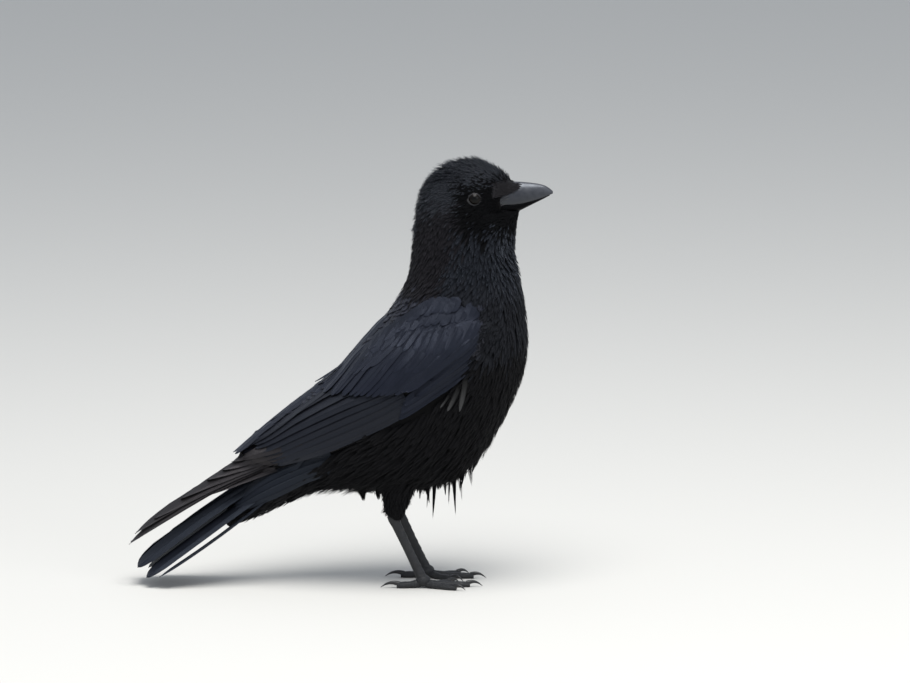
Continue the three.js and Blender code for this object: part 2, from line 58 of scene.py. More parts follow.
rng = np.random.default_rng(1907)


def place(x, y, z):
    """A place in millimetres as a point of the CAD frame in metres."""
    return Vector(((x + FORWARD) * MM, y * MM, z * MM))


def places(rows):
    """An array of places in millimetres as points of the CAD frame in metres."""
    rows = np.asarray(rows, float)
    return (rows + np.array([FORWARD, 0.0, 0.0])) * MM


def in_millimetres(spots):
    """An array of points of the CAD frame in metres as places in millimetres."""
    return spots / MM - np.array([FORWARD, 0.0, 0.0])


def unit(rows):
    return rows / np.maximum(np.linalg.norm(rows, axis=1)[:, None], 1e-12)


def full_turn(count):
    """Evenly spaced angles round a full turn."""
    return 2.0 * math.pi * np.arange(count) / count


def run_along(line):
    """How far along a polyline each of its points lies."""
    return np.concatenate([[0.0], np.cumsum(np.linalg.norm(np.diff(line, axis=0), axis=1))])


# ------------------------------------------------------------------ camera, light and floor
VIEW_HEIGHT = 9.0  # degrees above the horizon
VIEW_DISTANCE = 6.0
FRAME_WIDTH_MM = 755.0  # how much the view takes in at the bird
AIM = place(24.9, 0.0, 203.7)
LAMPS_AIM = place(-40.0, 0.0, 180.0)


def stand_facing(name, data, where, look):
    """Puts a camera or a lamp at a place, turned to look along a direction."""
    made = bpy.data.objects.new(name, data)
    made.location = where
    made.rotation_mode = "QUATERNION"
    made.rotation_quaternion = look.to_track_quat("-Z", "Y")
    bpy.context.scene.collection.objects.link(made)
    return made


def add_camera():
    data = bpy.data.cameras.new("camera")
    data.sensor_width = 36.0
    data.lens = data.sensor_width * VIEW_DISTANCE / (FRAME_WIDTH_MM * MM)
    data.clip_end = 50.0
    tilt = math.radians(VIEW_HEIGHT)
    look = Vector((0.0, math.cos(tilt), -math.sin(tilt)))
    bpy.context.scene.camera = stand_facing("camera", data, AIM - look * VIEW_DISTANCE, look)


def add_light(name, where, size, power, colour):
    data = bpy.data.lights.new(name, "AREA")
    data.shape = "DISK"
    data.size = size
    data.energy = power
    data.color = colour
    stand_facing(name, data, where, LAMPS_AIM - Vector(where))


def add_stage():
    """A pale floor, a pale soft sky, a broad lamp overhead and a weak one in front."""
    bpy.ops.mesh.primitive_plane_add(size=30.0, location=(0.0, 0.0, 0.0))
    floor = bpy.context.object
    floor.name = "floor"
    mat = bpy.data.materials.new("floor_paint")
    mat.use_nodes = True
    paint = mat.node_tree.nodes["Principled BSDF"]
    paint.inputs["Base Color"].default_value = (0.62, 0.61, 0.58, 1.0)
    paint.inputs["Roughness"].default_value = 0.9
    floor.data.materials.append(mat)
    world = bpy.data.worlds.new("soft_sky")
    world.use_nodes = True
    sky = world.node_tree.nodes["Background"]
    sky.inputs["Color"].default_value = (0.80, 0.86, 0.95, 1.0)
    sky.inputs["Strength"].default_value = 0.62
    bpy.context.scene.world = world
    add_light("overhead", (0.2, -0.9, 2.8), 2.2, 105.0, (1.0, 0.99, 0.97))
    add_light("front_fill", (1.9, -1.6, 1.1), 1.6, 9.0, (0.95, 0.97, 1.0))
    bpy.context.scene.view_settings.view_transform = "Standard"


add_camera()
add_stage()

# ------------------------------------------------------------------ the outer form of the plumage
FLESH = ["head", "neck", "trunk", "tail_coverts", "thigh_left", "thigh_right"]
WINGS = ["wing_left", "wing_right", "secondaries_left", "secondaries_right"]
FORM_GRAIN = 1.6 * MM  # voxel size of the remeshed form
SMOOTHING = 6  # rounds of smoothing after a remesh


def joined_copy(name, nodes):
    """One merged mesh object copied from several CAD nodes."""
    bm = bmesh.new()
    for node in nodes:
        bm.from_mesh(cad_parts[node].data)
    bmesh.ops.remove_doubles(bm, verts=bm.verts, dist=1e-6)
    mesh = bpy.data.meshes.new(name)
    bm.to_mesh(mesh)
    bm.free()
    made = bpy.data.objects.new(name, mesh)
    bpy.context.scene.collection.objects.link(made)
    return made


def remeshed(made, grain, smoothing):
    """Replaces the object's mesh by a voxel remesh of it, smoothed all over."""
    modifier = made.modifiers.new("remesh", "REMESH")
    modifier.mode = "VOXEL"
    modifier.voxel_size = grain
    soften = made.modifiers.new("soften", "SMOOTH")
    soften.iterations = smoothing
    soften.factor = 0.5
    bpy.context.view_layer.update()
    graph = bpy.context.evaluated_depsgraph_get()
    mesh = bpy.data.meshes.new_from_object(made.evaluated_get(graph))
    mesh.name = made.name
    made.modifiers.clear()
    made.data = mesh
    return made


def per_vertex(mesh, key):
    """An array of the vertices' places, co, or of their normals, normal."""
    out = np.empty(len(mesh.vertices) * 3)
    mesh.vertices.foreach_get(key, out)
    return out.reshape(-1, 3)


FAR_OUT = 200.0  # where level lines towards the bird start


class Form:
    """A smooth closed surface that plumage is laid on: nearest point, side point and normal."""

    def __init__(self, made):
        mesh = made.data
        self.verts = per_vertex(mesh, "co")
        self.norms = per_vertex(mesh, "normal")
        mesh.calc_loop_triangles()
        tris = np.empty(len(mesh.loop_triangles) * 3, int)
        mesh.loop_triangles.foreach_get("vertices", tris)
        self.tris = tris.reshape(-1, 3)
        self.tree = BVHTree.FromPolygons(self.verts.tolist(), self.tris.tolist())

    def nearest(self, spots):
        """Nearest points on the form and the outward normals there, for an array of places."""
        points = np.empty((len(spots), 3))
        faces = np.empty(len(spots), int)
        for i, spot in enumerate(spots):
            points[i], _, faces[i], _ = self.tree.find_nearest(spot)
        corners = self.tris[faces]
        gap = np.linalg.norm(self.verts[corners] - points[:, None, :], axis=2)
        blended = (self.norms[corners] / (gap + 1e-5)[:, :, None]).sum(1)
        return points, unit(blended)

    def out_at(self, side, x, z, reach):
        """Where a level line from far out on one side first meets the form, or None."""
        return self.tree.ray_cast(place(x, FAR_OUT * side, z), Vector((0.0, -side, 0.0)), reach * MM)[0]

    def beside(self, side, x, z):
        """The place beside the bird at x and z, or the nearest one where the bird has ended."""
        hit = self.out_at(side, x, z, FAR_OUT)
        if hit is None:
            hit = self.tree.find_nearest(place(x, 20.0 * side, z))[0]
        return np.array(hit)


# Half width of the face from behind the eye to the bill: x and half width.
FACE_WIDTHS = np.array([(36, 60), (44, 30), (50, 21.5), (54, 17), (58, 13.2), (62, 10.4), (66, 9.2),
                        (72, 8.4), (80, 7.2), (110, 6)])
CHIN_Z, BROW_Z = 313.0, 342.0  # the face widens again below and above these heights


def slim_face(made, inset=0.0):
    """Draws the cheeks in towards the sides of the bill, and a further inset in millimetres."""
    spots = per_vertex(made.data, "co")
    at = in_millimetres(spots)
    limit = np.interp(at[:, 0], *FACE_WIDTHS.T) - inset
    limit += 0.9 * np.clip(CHIN_Z - at[:, 2], 0.0, None) + 0.5 * np.clip(at[:, 2] - BROW_Z, 0.0, None)
    wide, free = np.abs(at[:, 1]), 0.75 * limit
    drawn = free + 0.25 * limit * np.tanh((wide - free) / (0.25 * limit))
    wide = np.where((wide > free) & (at[:, 0] > FACE_WIDTHS[0, 0]), drawn, wide)
    spots[:, 1] = np.sign(at[:, 1]) * wide * MM
    made.data.vertices.foreach_set("co", spots.ravel())
    made.data.update()
    return made


def make_form():
    """The whole bird's plumage surface, bill included, as one smooth closed mesh object."""
    made = joined_copy("form", FLESH + WINGS + ["eye_left", "eye_right", "bill_upper", "bill_lower"])
    return slim_face(remeshed(made, FORM_GRAIN, SMOOTHING))


form_object = make_form()
form = Form(form_object)

# ------------------------------------------------------------------ shared shader groups


def node(tree, kind, **settings):
    made = tree.nodes.new(kind)
    for key, value in settings.items():
        setattr(made, key, value)
    return made


def link(tree, source, target):
    tree.links.new(source, target)


def feed(tree, value, target):
    """Gives a socket a plain number, or links another socket to it."""
    if isinstance(value, (int, float)):
        target.default_value = value
    else:
        link(tree, value, target)


def math_node(tree, operation, *values):
    """The result of a Math node whose inputs are sockets or plain numbers."""
    made = node(tree, "ShaderNodeMath", operation=operation)
    for target, value in zip(made.inputs, values):
        feed(tree, value, target)
    return made.outputs[0]


def object_place(tree):
    return node(tree, "ShaderNodeTexCoord").outputs["Object"]


def vane_place(tree):
    """A place on a feather's own map: across it, and along it to the tip."""
    return node(tree, "ShaderNodeUVMap", uv_map="vane").outputs["UV"]


def stretched(tree, where, scale):
    made = node(tree, "ShaderNodeMapping")
    made.inputs["Scale"].default_value = scale
    link(tree, where, made.inputs["Vector"])
    return made.outputs["Vector"]


def parted(tree, where):
    """The X, Y and Z outputs of a place."""
    made = node(tree, "ShaderNodeSeparateXYZ")
    link(tree, where, made.inputs[0])
    return made.outputs


def noise(tree, where, scale, detail=2.0):
    made = node(tree, "ShaderNodeTexNoise")
    made.inputs["Detail"].default_value = detail
    link(tree, where, made.inputs["Vector"])
    feed(tree, scale, made.inputs["Scale"])
    return made.outputs["Fac"]


def new_group(name, takes, gives):
    """A node group with number sockets; returns it with its input and output nodes."""
    group = bpy.data.node_groups.new(name, "ShaderNodeTree")
    for key, value in takes.items():
        socket = group.interface.new_socket(name=key, in_out="INPUT", socket_type="NodeSocketFloat")
        socket.default_value = value
    for key in gives:
        group.interface.new_socket(name=key, in_out="OUTPUT", socket_type="NodeSocketFloat")
    return group, node(group, "NodeGroupInput"), node(group, "NodeGroupOutput")


def make_mottle():
    """Slow colour drift and fine mottling over any surface: a colour multiplier and a mask."""
    group, inside, outside = new_group("mottle", {"Scale": 120.0, "Depth": 0.3}, ("Shade", "Mask"))
    where = object_place(group)
    broad = noise(group, where, inside.outputs["Scale"], 3.0)
    fine = noise(group, where, math_node(group, "MULTIPLY", inside.outputs["Scale"], 7.0), 5.0)
    centred = math_node(group, "SUBTRACT", math_node(group, "ADD", broad, fine), 1.0)
    scaled = math_node(group, "MULTIPLY", centred, inside.outputs["Depth"])
    link(group, math_node(group, "ADD", scaled, 1.0), outside.inputs["Shade"])
    link(group, broad, outside.inputs["Mask"])
    return group


def make_barbs():
    """Barbs slanting off a feather's shaft: their height, and how near the tip a place is."""
    group, inside, outside = new_group("barbs", {"Across": 8.0, "Along": 40.0}, ("Height", "Tip"))
    where = vane_place(group)
    across, along = parted(group, where)[:2]
    off = math_node(group, "ABSOLUTE", math_node(group, "SUBTRACT", across, 0.5))
    slant = math_node(group, "MULTIPLY", off, inside.outputs["Across"])
    run = math_node(group, "MULTIPLY", along, inside.outputs["Along"])
    phase = math_node(group, "SUBTRACT", run, slant)
    ripple = math_node(group, "SINE", math_node(group, "MULTIPLY", phase, 6.2832))
    rough = math_node(group, "MULTIPLY", noise(group, where, 9.0), 1.4)
    link(group, math_node(group, "ADD", ripple, rough), outside.inputs["Height"])
    link(group, along, outside.inputs["Tip"])
    return group


MOTTLE = make_mottle()
BARBS = make_barbs()


def principled(name, colour, roughness, shine=0.5, gloss=(1.0, 1.0, 1.0)):
    """A new material with a Principled shader; returns (material, tree, shader)."""
    mat = bpy.data.materials.new(name)
    mat.use_nodes = True
    shader = mat.node_tree.nodes["Principled BSDF"]
    shader.inputs["Base Color"].default_value = (*colour, 1.0)
    shader.inputs["Roughness"].default_value = roughness
    shader.inputs["Specular IOR Level"].default_value = shine
    shader.inputs["Specular Tint"].default_value = (*gloss, 1.0)
    return mat, mat.node_tree, shader


def add_group(tree, group, **values):
    made = node(tree, "ShaderNodeGroup")
    made.node_tree = group
    for key, value in values.items():
        made.inputs[key].default_value = value
    return made.outputs


def add_bump(tree, shader, height, strength, depth):
    """Relief on a shader from a height; depth is in millimetres."""
    bump = node(tree, "ShaderNodeBump")
    bump.inputs["Strength"].default_value = strength
    bump.inputs["Distance"].default_value = depth * MM
    link(tree, height, bump.inputs["Height"])
    link(tree, bump.outputs["Normal"], shader.inputs["Normal"])


def shade_base(tree, shader, colour, shade):
    """Base colour times a varying shade."""
    tint = node(tree, "ShaderNodeVectorMath", operation="SCALE")
    tint.inputs[0].default_value = colour
    link(tree, shade, tint.inputs["Scale"])
    link(tree, tint.outputs[0], shader.inputs["Base Color"])


def mottled(name, colour, roughness, scale, depth, shine=0.5):
    """A material with mottled colour; returns (material, tree, shader, the mottle's mask)."""
    mat, tree, shader = principled(name, colour, roughness, shine)
    mottle = add_group(tree, MOTTLE, Scale=scale, Depth=depth)
    shade_base(tree, shader, colour, mottle["Shade"])
    return mat, tree, shader, mottle["Mask"]


def feather_material(name, colour, roughness, gloss, shine, barbs=(8.0, 40.0), relief=0.15, tip=0.5):
    """Black vane: relief of barbs, mottled colour, glossier tip with a painted highlight, tinted gloss."""
    mat, tree, shader = principled(name, colour, roughness, shine, gloss)
    shader.inputs["Sheen Weight"].default_value = 0.12 * shine
    shader.inputs["Sheen Roughness"].default_value = 0.45
    shader.inputs["Sheen Tint"].default_value = (*gloss, 1.0)
    mottle = add_group(tree, MOTTLE, Scale=70.0, Depth=0.55)
    vane = add_group(tree, BARBS, Across=barbs[0], Along=barbs[1])
    # Colour darker at the root and paler at the tip: a highlight painted on the glossy tips.
    end = math_node(tree, "POWER", vane["Tip"], 2.0)
    painted_tip_highlight = math_node(tree, "MULTIPLY_ADD", end, tip, 1.0 - 0.6 * tip)
    shade_base(tree, shader, colour, math_node(tree, "MULTIPLY", mottle["Shade"], painted_tip_highlight))
    add_bump(tree, shader, vane["Height"], 0.5, relief)
    drift = math_node(tree, "MULTIPLY_ADD", mottle["Mask"], 0.24, roughness - 0.12)
    polished = math_node(tree, "MULTIPLY_ADD", end, -0.22 * tip, drift)
    link(tree, polished, shader.inputs["Roughness"])
    return mat


def skin_material():
    """Dark skin with a fine down on it."""
    mat, tree, shader, _ = mottled("skin_dark", (0.004, 0.004, 0.0044), 0.85, 160.0, 0.6, 0.1)
    add_bump(tree, shader, noise(tree, object_place(tree), 900.0), 0.4, 0.4)
    return mat


SKIN = skin_material()
# Each kind of small feather: colour, roughness, tint of its gloss, strength of the gloss, and how
# strongly a highlight is painted on its tip as paler colour.
PLUMES = {
    "head": ((0.0066, 0.0070, 0.0088), 0.50, (0.76, 0.84, 1.0), 0.33, 1.25),
    "face": ((0.0027, 0.0027, 0.0029), 0.76, (0.85, 0.90, 1.0), 0.05, 0.5),
    "nape": ((0.0042, 0.0039, 0.0049), 0.60, (0.90, 0.88, 1.0), 0.16, 0.5),
    "throat": ((0.0036, 0.0038, 0.0052), 0.48, (0.70, 0.80, 1.0), 0.30, 1.35),
    "foreneck": ((0.0043, 0.0045, 0.0058), 0.52, (0.74, 0.82, 1.0), 0.23, 0.5),
    "mantle": ((0.0100, 0.0108, 0.0160), 0.60, (0.74, 0.78, 1.0), 0.30, 0.8),
    "marginal": ((0.0080, 0.0081, 0.0104), 0.46, (0.76, 0.80, 1.0), 0.34, 0.5),
    "breast": ((0.0047, 0.0049, 0.0063), 0.66, (0.80, 0.86, 1.0), 0.17, 0.5),
    "belly": ((0.0044, 0.0043, 0.0047), 0.74, (0.92, 0.92, 1.0), 0.10, 0.5),
    "bristle": ((0.0062, 0.0057, 0.0060), 0.50, (0.92, 0.90, 1.0), 0.32, 1.1),
}
PLUME = {key: feather_material(key + "_plumage", *row[:4], tip=row[4]) for key, row in PLUMES.items()}

# ------------------------------------------------------------------ lie and size of the coat
# Each tract of small feathers: a place on the bird, which way its feathers point, their length
# and width in mm, how far the tips stand off the feathers below in mm, and how uneven they are.
COAT = [
    # head
    ("forehead", (66, 3, 343), (-0.70, 0.05, 0.70), 5.5, 2.1, 1.5, 1.0),
    ("crown", (46, 6, 353), (-1.00, 0.05, 0.20), 6.5, 2.5, 2.0, 1.0),
    ("hind crown", (18, 6, 349), (-0.95, 0.05, -0.20), 8.0, 2.7, 2.8, 1.1),
    ("occiput", (0, 6, 330), (-0.76, 0.05, -0.65), 9.5, 2.9, 2.4, 1.1),
    ("brow", (45, 17, 340), (-0.95, 0.10, -0.05), 5.0, 2.0, 0.4, 0.2),
    ("lores", (60, 10, 327), (-0.95, 0.30, 0.10), 4.0, 1.4, 0.3, 0.2),
    ("ear coverts", (25, 21, 322), (-0.90, 0.05, -0.45), 8.0, 2.2, 0.35, 0.2),
    ("temple", (20, 19, 338), (-0.95, 0.05, -0.30), 7.0, 2.3, 0.5, 0.3),
    ("cheek", (50, 16, 311), (-0.85, 0.10, -0.50), 7.0, 2.2, 0.4, 0.2),
    ("chin", (74, 4, 311), (-0.80, 0.0, -0.60), 6.0, 1.8, 0.4, 0.3),
    # neck
    ("throat", (75, 6, 296), (-0.25, 0.05, -0.97), 9.0, 3.2, 1.0, 0.6),
    ("throat hackles", (68, 16, 278), (0.05, 0.05, -1.0), 11.5, 3.8, 1.6, 0.9),
    ("neck side", (38, 26, 285), (-0.25, 0.05, -0.97), 13.0, 4.0, 0.6, 0.3),
    ("nape side", (8, 24, 295), (-0.30, 0.05, -0.95), 12.0, 3.8, 0.9, 0.6),
    ("nape", (-7, 6, 300), (-0.30, 0.03, -0.95), 12.0, 3.6, 1.1, 0.7),
    ("neck base", (-14, 10, 258), (-0.30, 0.05, -0.95), 15.0, 5.0, 0.9, 0.4),
    ("fore neck", (76, 14, 256), (0.06, 0.05, -1.0), 16.0, 4.6, 0.9, 0.4),
    # trunk
    ("shoulder", (45, 40, 246), (-0.45, 0.10, -0.90), 15.0, 6.5, 0.6, 0.3),
    ("mantle", (-25, 16, 235), (-0.62, 0.15, -0.78), 16.0, 8.0, 0.6, 0.3),
    ("back", (-52, 14, 204), (-0.72, 0.12, -0.70), 20.0, 9.0, 1.1, 0.3),
    ("rump", (-88, 10, 160), (-0.76, 0.05, -0.65), 22.0, 9.0, 1.0, 0.3),
    ("scapulars", (0, 46, 232), (-0.80, 0.10, -0.60), 16.0, 8.5, 0.6, 0.3),
    ("breast", (83, 20, 215), (-0.05, 0.10, -1.0), 18.0, 6.0, 0.8, 0.4),
    ("breast side", (60, 44, 200), (-0.25, 0.15, -0.96), 19.0, 6.5, 0.8, 0.4),
    ("low breast", (72, 20, 158), (-0.35, 0.05, -0.93), 20.0, 6.0, 0.9, 0.5),
    ("belly", (40, 18, 108), (-0.80, 0.05, -0.60), 20.0, 5.5, 2.0, 1.2),
    ("flank", (20, 46, 150), (-0.55, 0.05, -0.83), 22.0, 6.5, 0.9, 0.5),
    ("rear flank", (-35, 42, 118), (-0.85, 0.0, -0.52), 24.0, 6.5, 1.1, 0.7),
    ("lower flank", (0, 34, 98), (-0.75, 0.0, -0.66), 24.0, 5.5, 1.5, 1.0),
    ("vent", (-45, 14, 82), (-0.90, 0.0, -0.42), 20.0, 4.5, 3.0, 1.4),
    ("thigh", (-24, 22, 76), (-0.05, 0.02, -1.0), 12.0, 3.2, 1.0, 0.8),
    ("ankle", (-24, 22, 63), (0.0, 0.0, -1.0), 6.0, 2.0, 0.5, 0.5),
    # tail root
    ("under tail coverts", (-118, 10, 67), (-0.86, 0.02, -0.51), 30.0, 7.5, 0.9, 0.4),
    ("side tail coverts", (-118, 22, 88), (-0.84, 0.02, -0.54), 28.0, 7.5, 0.8, 0.3),
    ("upper tail coverts", (-130, 8, 101), (-0.80, 0.03, -0.60), 26.0, 9.0, 0.8, 0.3),
    # wing
    ("wrist", (46, 47, 212), (-0.95, 0.10, -0.45), 8.0, 4.4, 0.4, 0.2),
    ("lesser coverts", (25, 54, 205), (-0.80, 0.05, -0.60), 12.0, 6.0, 0.7, 0.2),
    ("wing middle", (-20, 55, 185), (-0.80, 0.0, -0.60), 16.0, 8.0, 0.8, 0.2),
]


class Lie:
    """The coat's direction and sizes anywhere on the bird, blended from the tracts nearby."""

    def __init__(self, rows):
        spots, ways, sizes = [], [], []
        for _, spot, way, length, width, stand, uneven in rows:
            for side in (RIGHT, LEFT):
                spots.append((spot[0], spot[1] * side, spot[2]))
                ways.append((way[0], way[1] * side, way[2]))
                sizes.append((length, width, stand, uneven))
        self.spots = places(spots)
        self.ways = unit(np.array(ways))
        self.sizes = np.array(sizes)

    def weights(self, spots):
        gap = np.linalg.norm(spots[:, None, :] - self.spots[None, :, :], axis=2)
        weight = 1.0 / (gap + 2.0 * MM) ** 4
        return weight / weight.sum(1)[:, None]

    def read(self, spots):
        """(unit directions, sizes) at an array of places."""
        weight = self.weights(spots)
        return unit(weight @ self.ways), weight @ self.sizes

    def read_sizes(self, spots):
        """Only the sizes, for an array of places too long to read at once."""
        return np.concatenate([self.read(part)[1] for part in np.array_split(spots, 12)])


lie = Lie(COAT)

# ------------------------------------------------------------------ skin map for the coat's patches
# The skin is unwrapped round a line that runs through the bird from its face to its tail.
SPINE = places([
    (80, 0, 324), (55, 0, 326), (42, 0, 312), (34, 0, 285), (30, 0, 255), (20, 0, 215),
    (0, 0, 175), (-25, 0, 140), (-60, 0, 115), (-105, 0, 92), (-165, 0, 58),
])


def densify(line, count):
    """The same polyline with evenly spaced points."""
    run = run_along(line)
    marks = np.linspace(0.0, run[-1], count)
    return np.stack([np.interp(marks, run, line[:, axis]) for axis in range(3)], axis=1)


SPINE_LINE = densify(SPINE, 240)


def skin_map(spots):
    """Where each place falls on the unwrapped skin: turn about the spine, and run along it."""
    gap = np.linalg.norm(spots[:, None, :] - SPINE_LINE[None, :, :], axis=2)
    weight = np.exp(-((gap - gap.min(1)[:, None]) / (6.0 * MM)))
    weight /= weight.sum(1)[:, None]
    run = weight @ np.linspace(0.0, 1.0, len(SPINE_LINE))
    ahead = unit(weight @ unit(np.gradient(SPINE_LINE, axis=0)))
    off = spots - weight @ SPINE_LINE
    up = unit(np.cross(ahead, np.array([0.0, 1.0, 0.0])))
    turn = np.arctan2(off[:, 1], (off * up).sum(1)) / (2.0 * math.pi) + 0.5
    return np.stack([0.02 + 0.96 * turn, 0.02 + 0.96 * run], axis=1)


PATCH = 0.003  # size of one tuft's patch on the skin map

# ------------------------------------------------------------------ mesh of many small feathers
# A small feather is a thin closed vane: left edge, ridge and right edge at four stations, and a tip.
STATIONS = np.array([0.0, 0.34, 0.66, 0.88, 1.0])
ROUND_OUTLINE = np.array([0.45, 0.92, 1.0, 0.72])
POINTED_OUTLINE = np.array([0.70, 1.0, 0.66, 0.32])
VANE_VERTS = 3 * 4 + 1


def vane_faces():
    faces = [(0, 1, 2)]
    for station in range(3):
        a, b = 3 * station, 3 * station + 3
        for j in range(3):
            k = (j + 1) % 3
            faces.append((a + k, a + j, b + j, b + k))
    for j in range(3):
        faces.append((9 + (j + 1) % 3, 9 + j, 12))
    return faces


def tiled_mesh(name, verts, faces, per_tile, maps, sharp=None):
    """One mesh of many tiles that share a face pattern.

    maps holds a UV for each vertex, or for each face corner, by the map's name. sharp gives each
    vertex of a tile a number: an edge that joins two equal numbers above nought is a sharp one."""
    count = len(verts) // per_tile
    sizes = np.array([len(face) for face in faces])
    pattern = np.concatenate([np.array(face) for face in faces])
    loops = (pattern[None, :] + per_tile * np.arange(count)[:, None]).ravel()
    totals = np.tile(sizes, count)
    starts = np.concatenate([[0], np.cumsum(totals)[:-1]])
    mesh = bpy.data.meshes.new(name)
    mesh.vertices.add(len(verts))
    mesh.vertices.foreach_set("co", verts.ravel())
    mesh.loops.add(len(loops))
    mesh.loops.foreach_set("vertex_index", loops)
    mesh.polygons.add(len(totals))
    mesh.polygons.foreach_set("loop_start", starts)
    mesh.update(calc_edges=True)
    mesh.polygons.foreach_set("use_smooth", np.ones(len(totals), bool))
    for key, values in maps.items():
        layer = mesh.uv_layers.new(name=key)
        cornered = values if len(values) == len(loops) else values[loops]
        layer.uv.foreach_set("vector", cornered.ravel())
    if sharp is not None:
        ends = np.empty(len(mesh.edges) * 2, int)
        mesh.edges.foreach_get("vertices", ends)
        kinds = sharp[(ends % per_tile).reshape(-1, 2)]
        marked = (kinds[:, 0] == kinds[:, 1]) & (kinds[:, 0] > 0)
        attribute = mesh.attributes.new("sharp_edge", "BOOLEAN", "EDGE")
        attribute.data.foreach_set("value", marked)
    mesh.validate()
    mesh.update()
    return mesh


def add_piece(name, mesh, material, replaced=()):
    made = bpy.data.objects.new(name, mesh)
    bpy.context.scene.collection.objects.link(made)
    if material is not None:
        made.data.materials.append(material)
    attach(made, "root")
    if replaced:
        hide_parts(*replaced)
    return made


def square_to(rows, outward):
    """Unit directions with the part along the normals taken out."""
    return unit(rows - (rows * outward).sum(1)[:, None] * outward)


def lay_feathers(roots, sizes, pointed, relief, twist, way=None):
    """Vertices of feathers laid along the coat from their roots: an array (feather, vertex, xyz).

    sizes has a row of length, width, stand and uneven for each root, in millimetres; pointed runs
    from 0, rounded, to 1, lance-shaped; relief is how strongly each vane is arched across; twist is
    a turn in radians about the normal at the root."""
    spots, outward = form.nearest(roots)
    length = sizes[:, 0] * MM
    half = sizes[:, 1] * 0.5 * MM
    lifted = sizes[:, 2] * MM
    flow = lie.read(spots)[0] if way is None else way
    flow = square_to(flow, outward)
    side = np.cross(outward, flow)
    flow = flow * np.cos(twist)[:, None] + side * np.sin(twist)[:, None]
    verts = np.empty((len(roots), VANE_VERTS, 3))
    before = 0.0
    for k, station in enumerate(STATIONS):
        if k:
            moved = spots + flow * ((station - before) * length)[:, None]
            spots, outward = form.nearest(moved)
            local = lie.read(spots)[0] if way is None else flow
            flow = square_to(0.6 * flow + 0.4 * local, outward)
            before = station
        height = -0.13 * length * (1.0 - station) ** 1.5 + lifted * station ** 1.6
        centre = spots + outward * height[:, None]
        across = np.cross(outward, flow)
        if k == 4:
            verts[:, 12] = centre
            break
        outline = ROUND_OUTLINE[k] * (1 - pointed) + POINTED_OUTLINE[k] * pointed
        width = (half * outline)[:, None] * across
        dip = (0.16 * relief * half * outline)[:, None] * outward
        ridge = (0.05 * MM + 0.10 * relief * half * outline)[:, None] * outward
        verts[:, 3 * k] = centre - width - dip
        verts[:, 3 * k + 1] = centre + ridge
        verts[:, 3 * k + 2] = centre + width - dip
    return verts


VANE_U = np.array([0.0, 0.5, 1.0] * 4 + [0.5])
VANE_V = np.array([STATIONS[i // 3] for i in range(12)] + [1.0])
VANE_EDGE = np.array([1, 0, 2] * 4 + [0])


def small_piece(name, roots, verts, material, replaced=()):
    """A joined mesh of small feathers, with its vane map and each one's patch on the skin map."""
    vane = np.stack([np.tile(VANE_U, len(roots)), np.tile(VANE_V, len(roots))], axis=1)
    bake = np.repeat(skin_map(roots), VANE_VERTS, axis=0) + PATCH * (vane - 0.5)
    mesh = tiled_mesh(name, verts.reshape(-1, 3), vane_faces(), VANE_VERTS,
                      {"vane": vane, "OFBake": bake}, VANE_EDGE)
    add_piece(name, mesh, material, replaced)


def coat_piece(name, roots, sizes, pointed, material, relief, way=None):
    """A joined mesh of small feathers of uneven size and turn that lie along the coat."""
    roots, sizes = np.asarray(roots), np.array(sizes)
    twist = rng.normal(0.0, 0.10, len(roots)) * (1.0 + sizes[:, 3])
    sizes[:, 0] *= rng.uniform(0.85, 1.15, len(roots))
    sizes[:, 1] *= rng.uniform(0.88, 1.12, len(roots))
    sizes[:, 2] *= 1.0 + sizes[:, 3] * rng.uniform(-0.8, 1.4, len(roots))
    small_piece(name, roots, lay_feathers(roots, sizes, pointed, relief, twist, way), material)


def scatter(grows, tract_of, density_of, width_of):
    """Roots spread over the form where grows(points, normals) is true, by feather size and tract.

    Returns the roots, their feather sizes and the name of each one's tract."""
    corners = form.verts[form.tris]
    middle = corners.mean(1)
    facing = unit(form.norms[form.tris].mean(1))
    wanted = grows(middle, facing)
    corners, middle = corners[wanted], middle[wanted]
    area = np.linalg.norm(np.cross(corners[:, 1] - corners[:, 0], corners[:, 2] - corners[:, 0]), axis=1) / 2
    sizes = lie.read_sizes(middle)
    tracts = tract_of(middle)
    density = np.array([density_of[name] for name in tracts])
    width = sizes[:, 1] * np.array([width_of[name] for name in tracts])
    spacing = np.sqrt(0.5 * width * 0.33 * sizes[:, 0] / density) * MM
    share = area / spacing ** 2
    count = int(share.sum() * 5)
    picked = rng.choice(len(middle), count, p=share / share.sum())
    a, b = rng.random((2, count))
    flip = a + b > 1
    a[flip], b[flip] = 1 - a[flip], 1 - b[flip]
    base = corners[picked]
    spots = base[:, 0] + a[:, None] * (base[:, 1] - base[:, 0]) + b[:, None] * (base[:, 2] - base[:, 0])
    reach = spacing[picked]
    tree = KDTree(count)
    for i, spot in enumerate(spots):
        tree.insert(spot, i)
    tree.balance()
    free = np.ones(count, bool)
    kept = []
    for i in range(count):
        if not free[i]:
            continue
        kept.append(i)
        for _, j, _ in tree.find_range(spots[i], reach[i]):
            free[j] = False
    spots = spots[kept]
    sizes = lie.read_sizes(spots)
    tracts = tract_of(spots)
    sizes[:, 1] *= np.array([width_of[name] for name in tracts])
    return spots, sizes, tracts


# ------------------------------------------------------------------ mesh of the large feathers
# A large feather is a closed vane. Its upper face has seven points across with a raised shaft in
# the middle, from the low edge at -1 to the high edge at 1, and its under face has three.
UPPER_POINTS = np.array([-1.0, -0.52, -0.06, 0.0, 0.06, 0.52, 1.0])
UNDER_POINTS = np.array([0.6, 0.0, -0.6])
RING = len(UPPER_POINTS) + len(UNDER_POINTS)


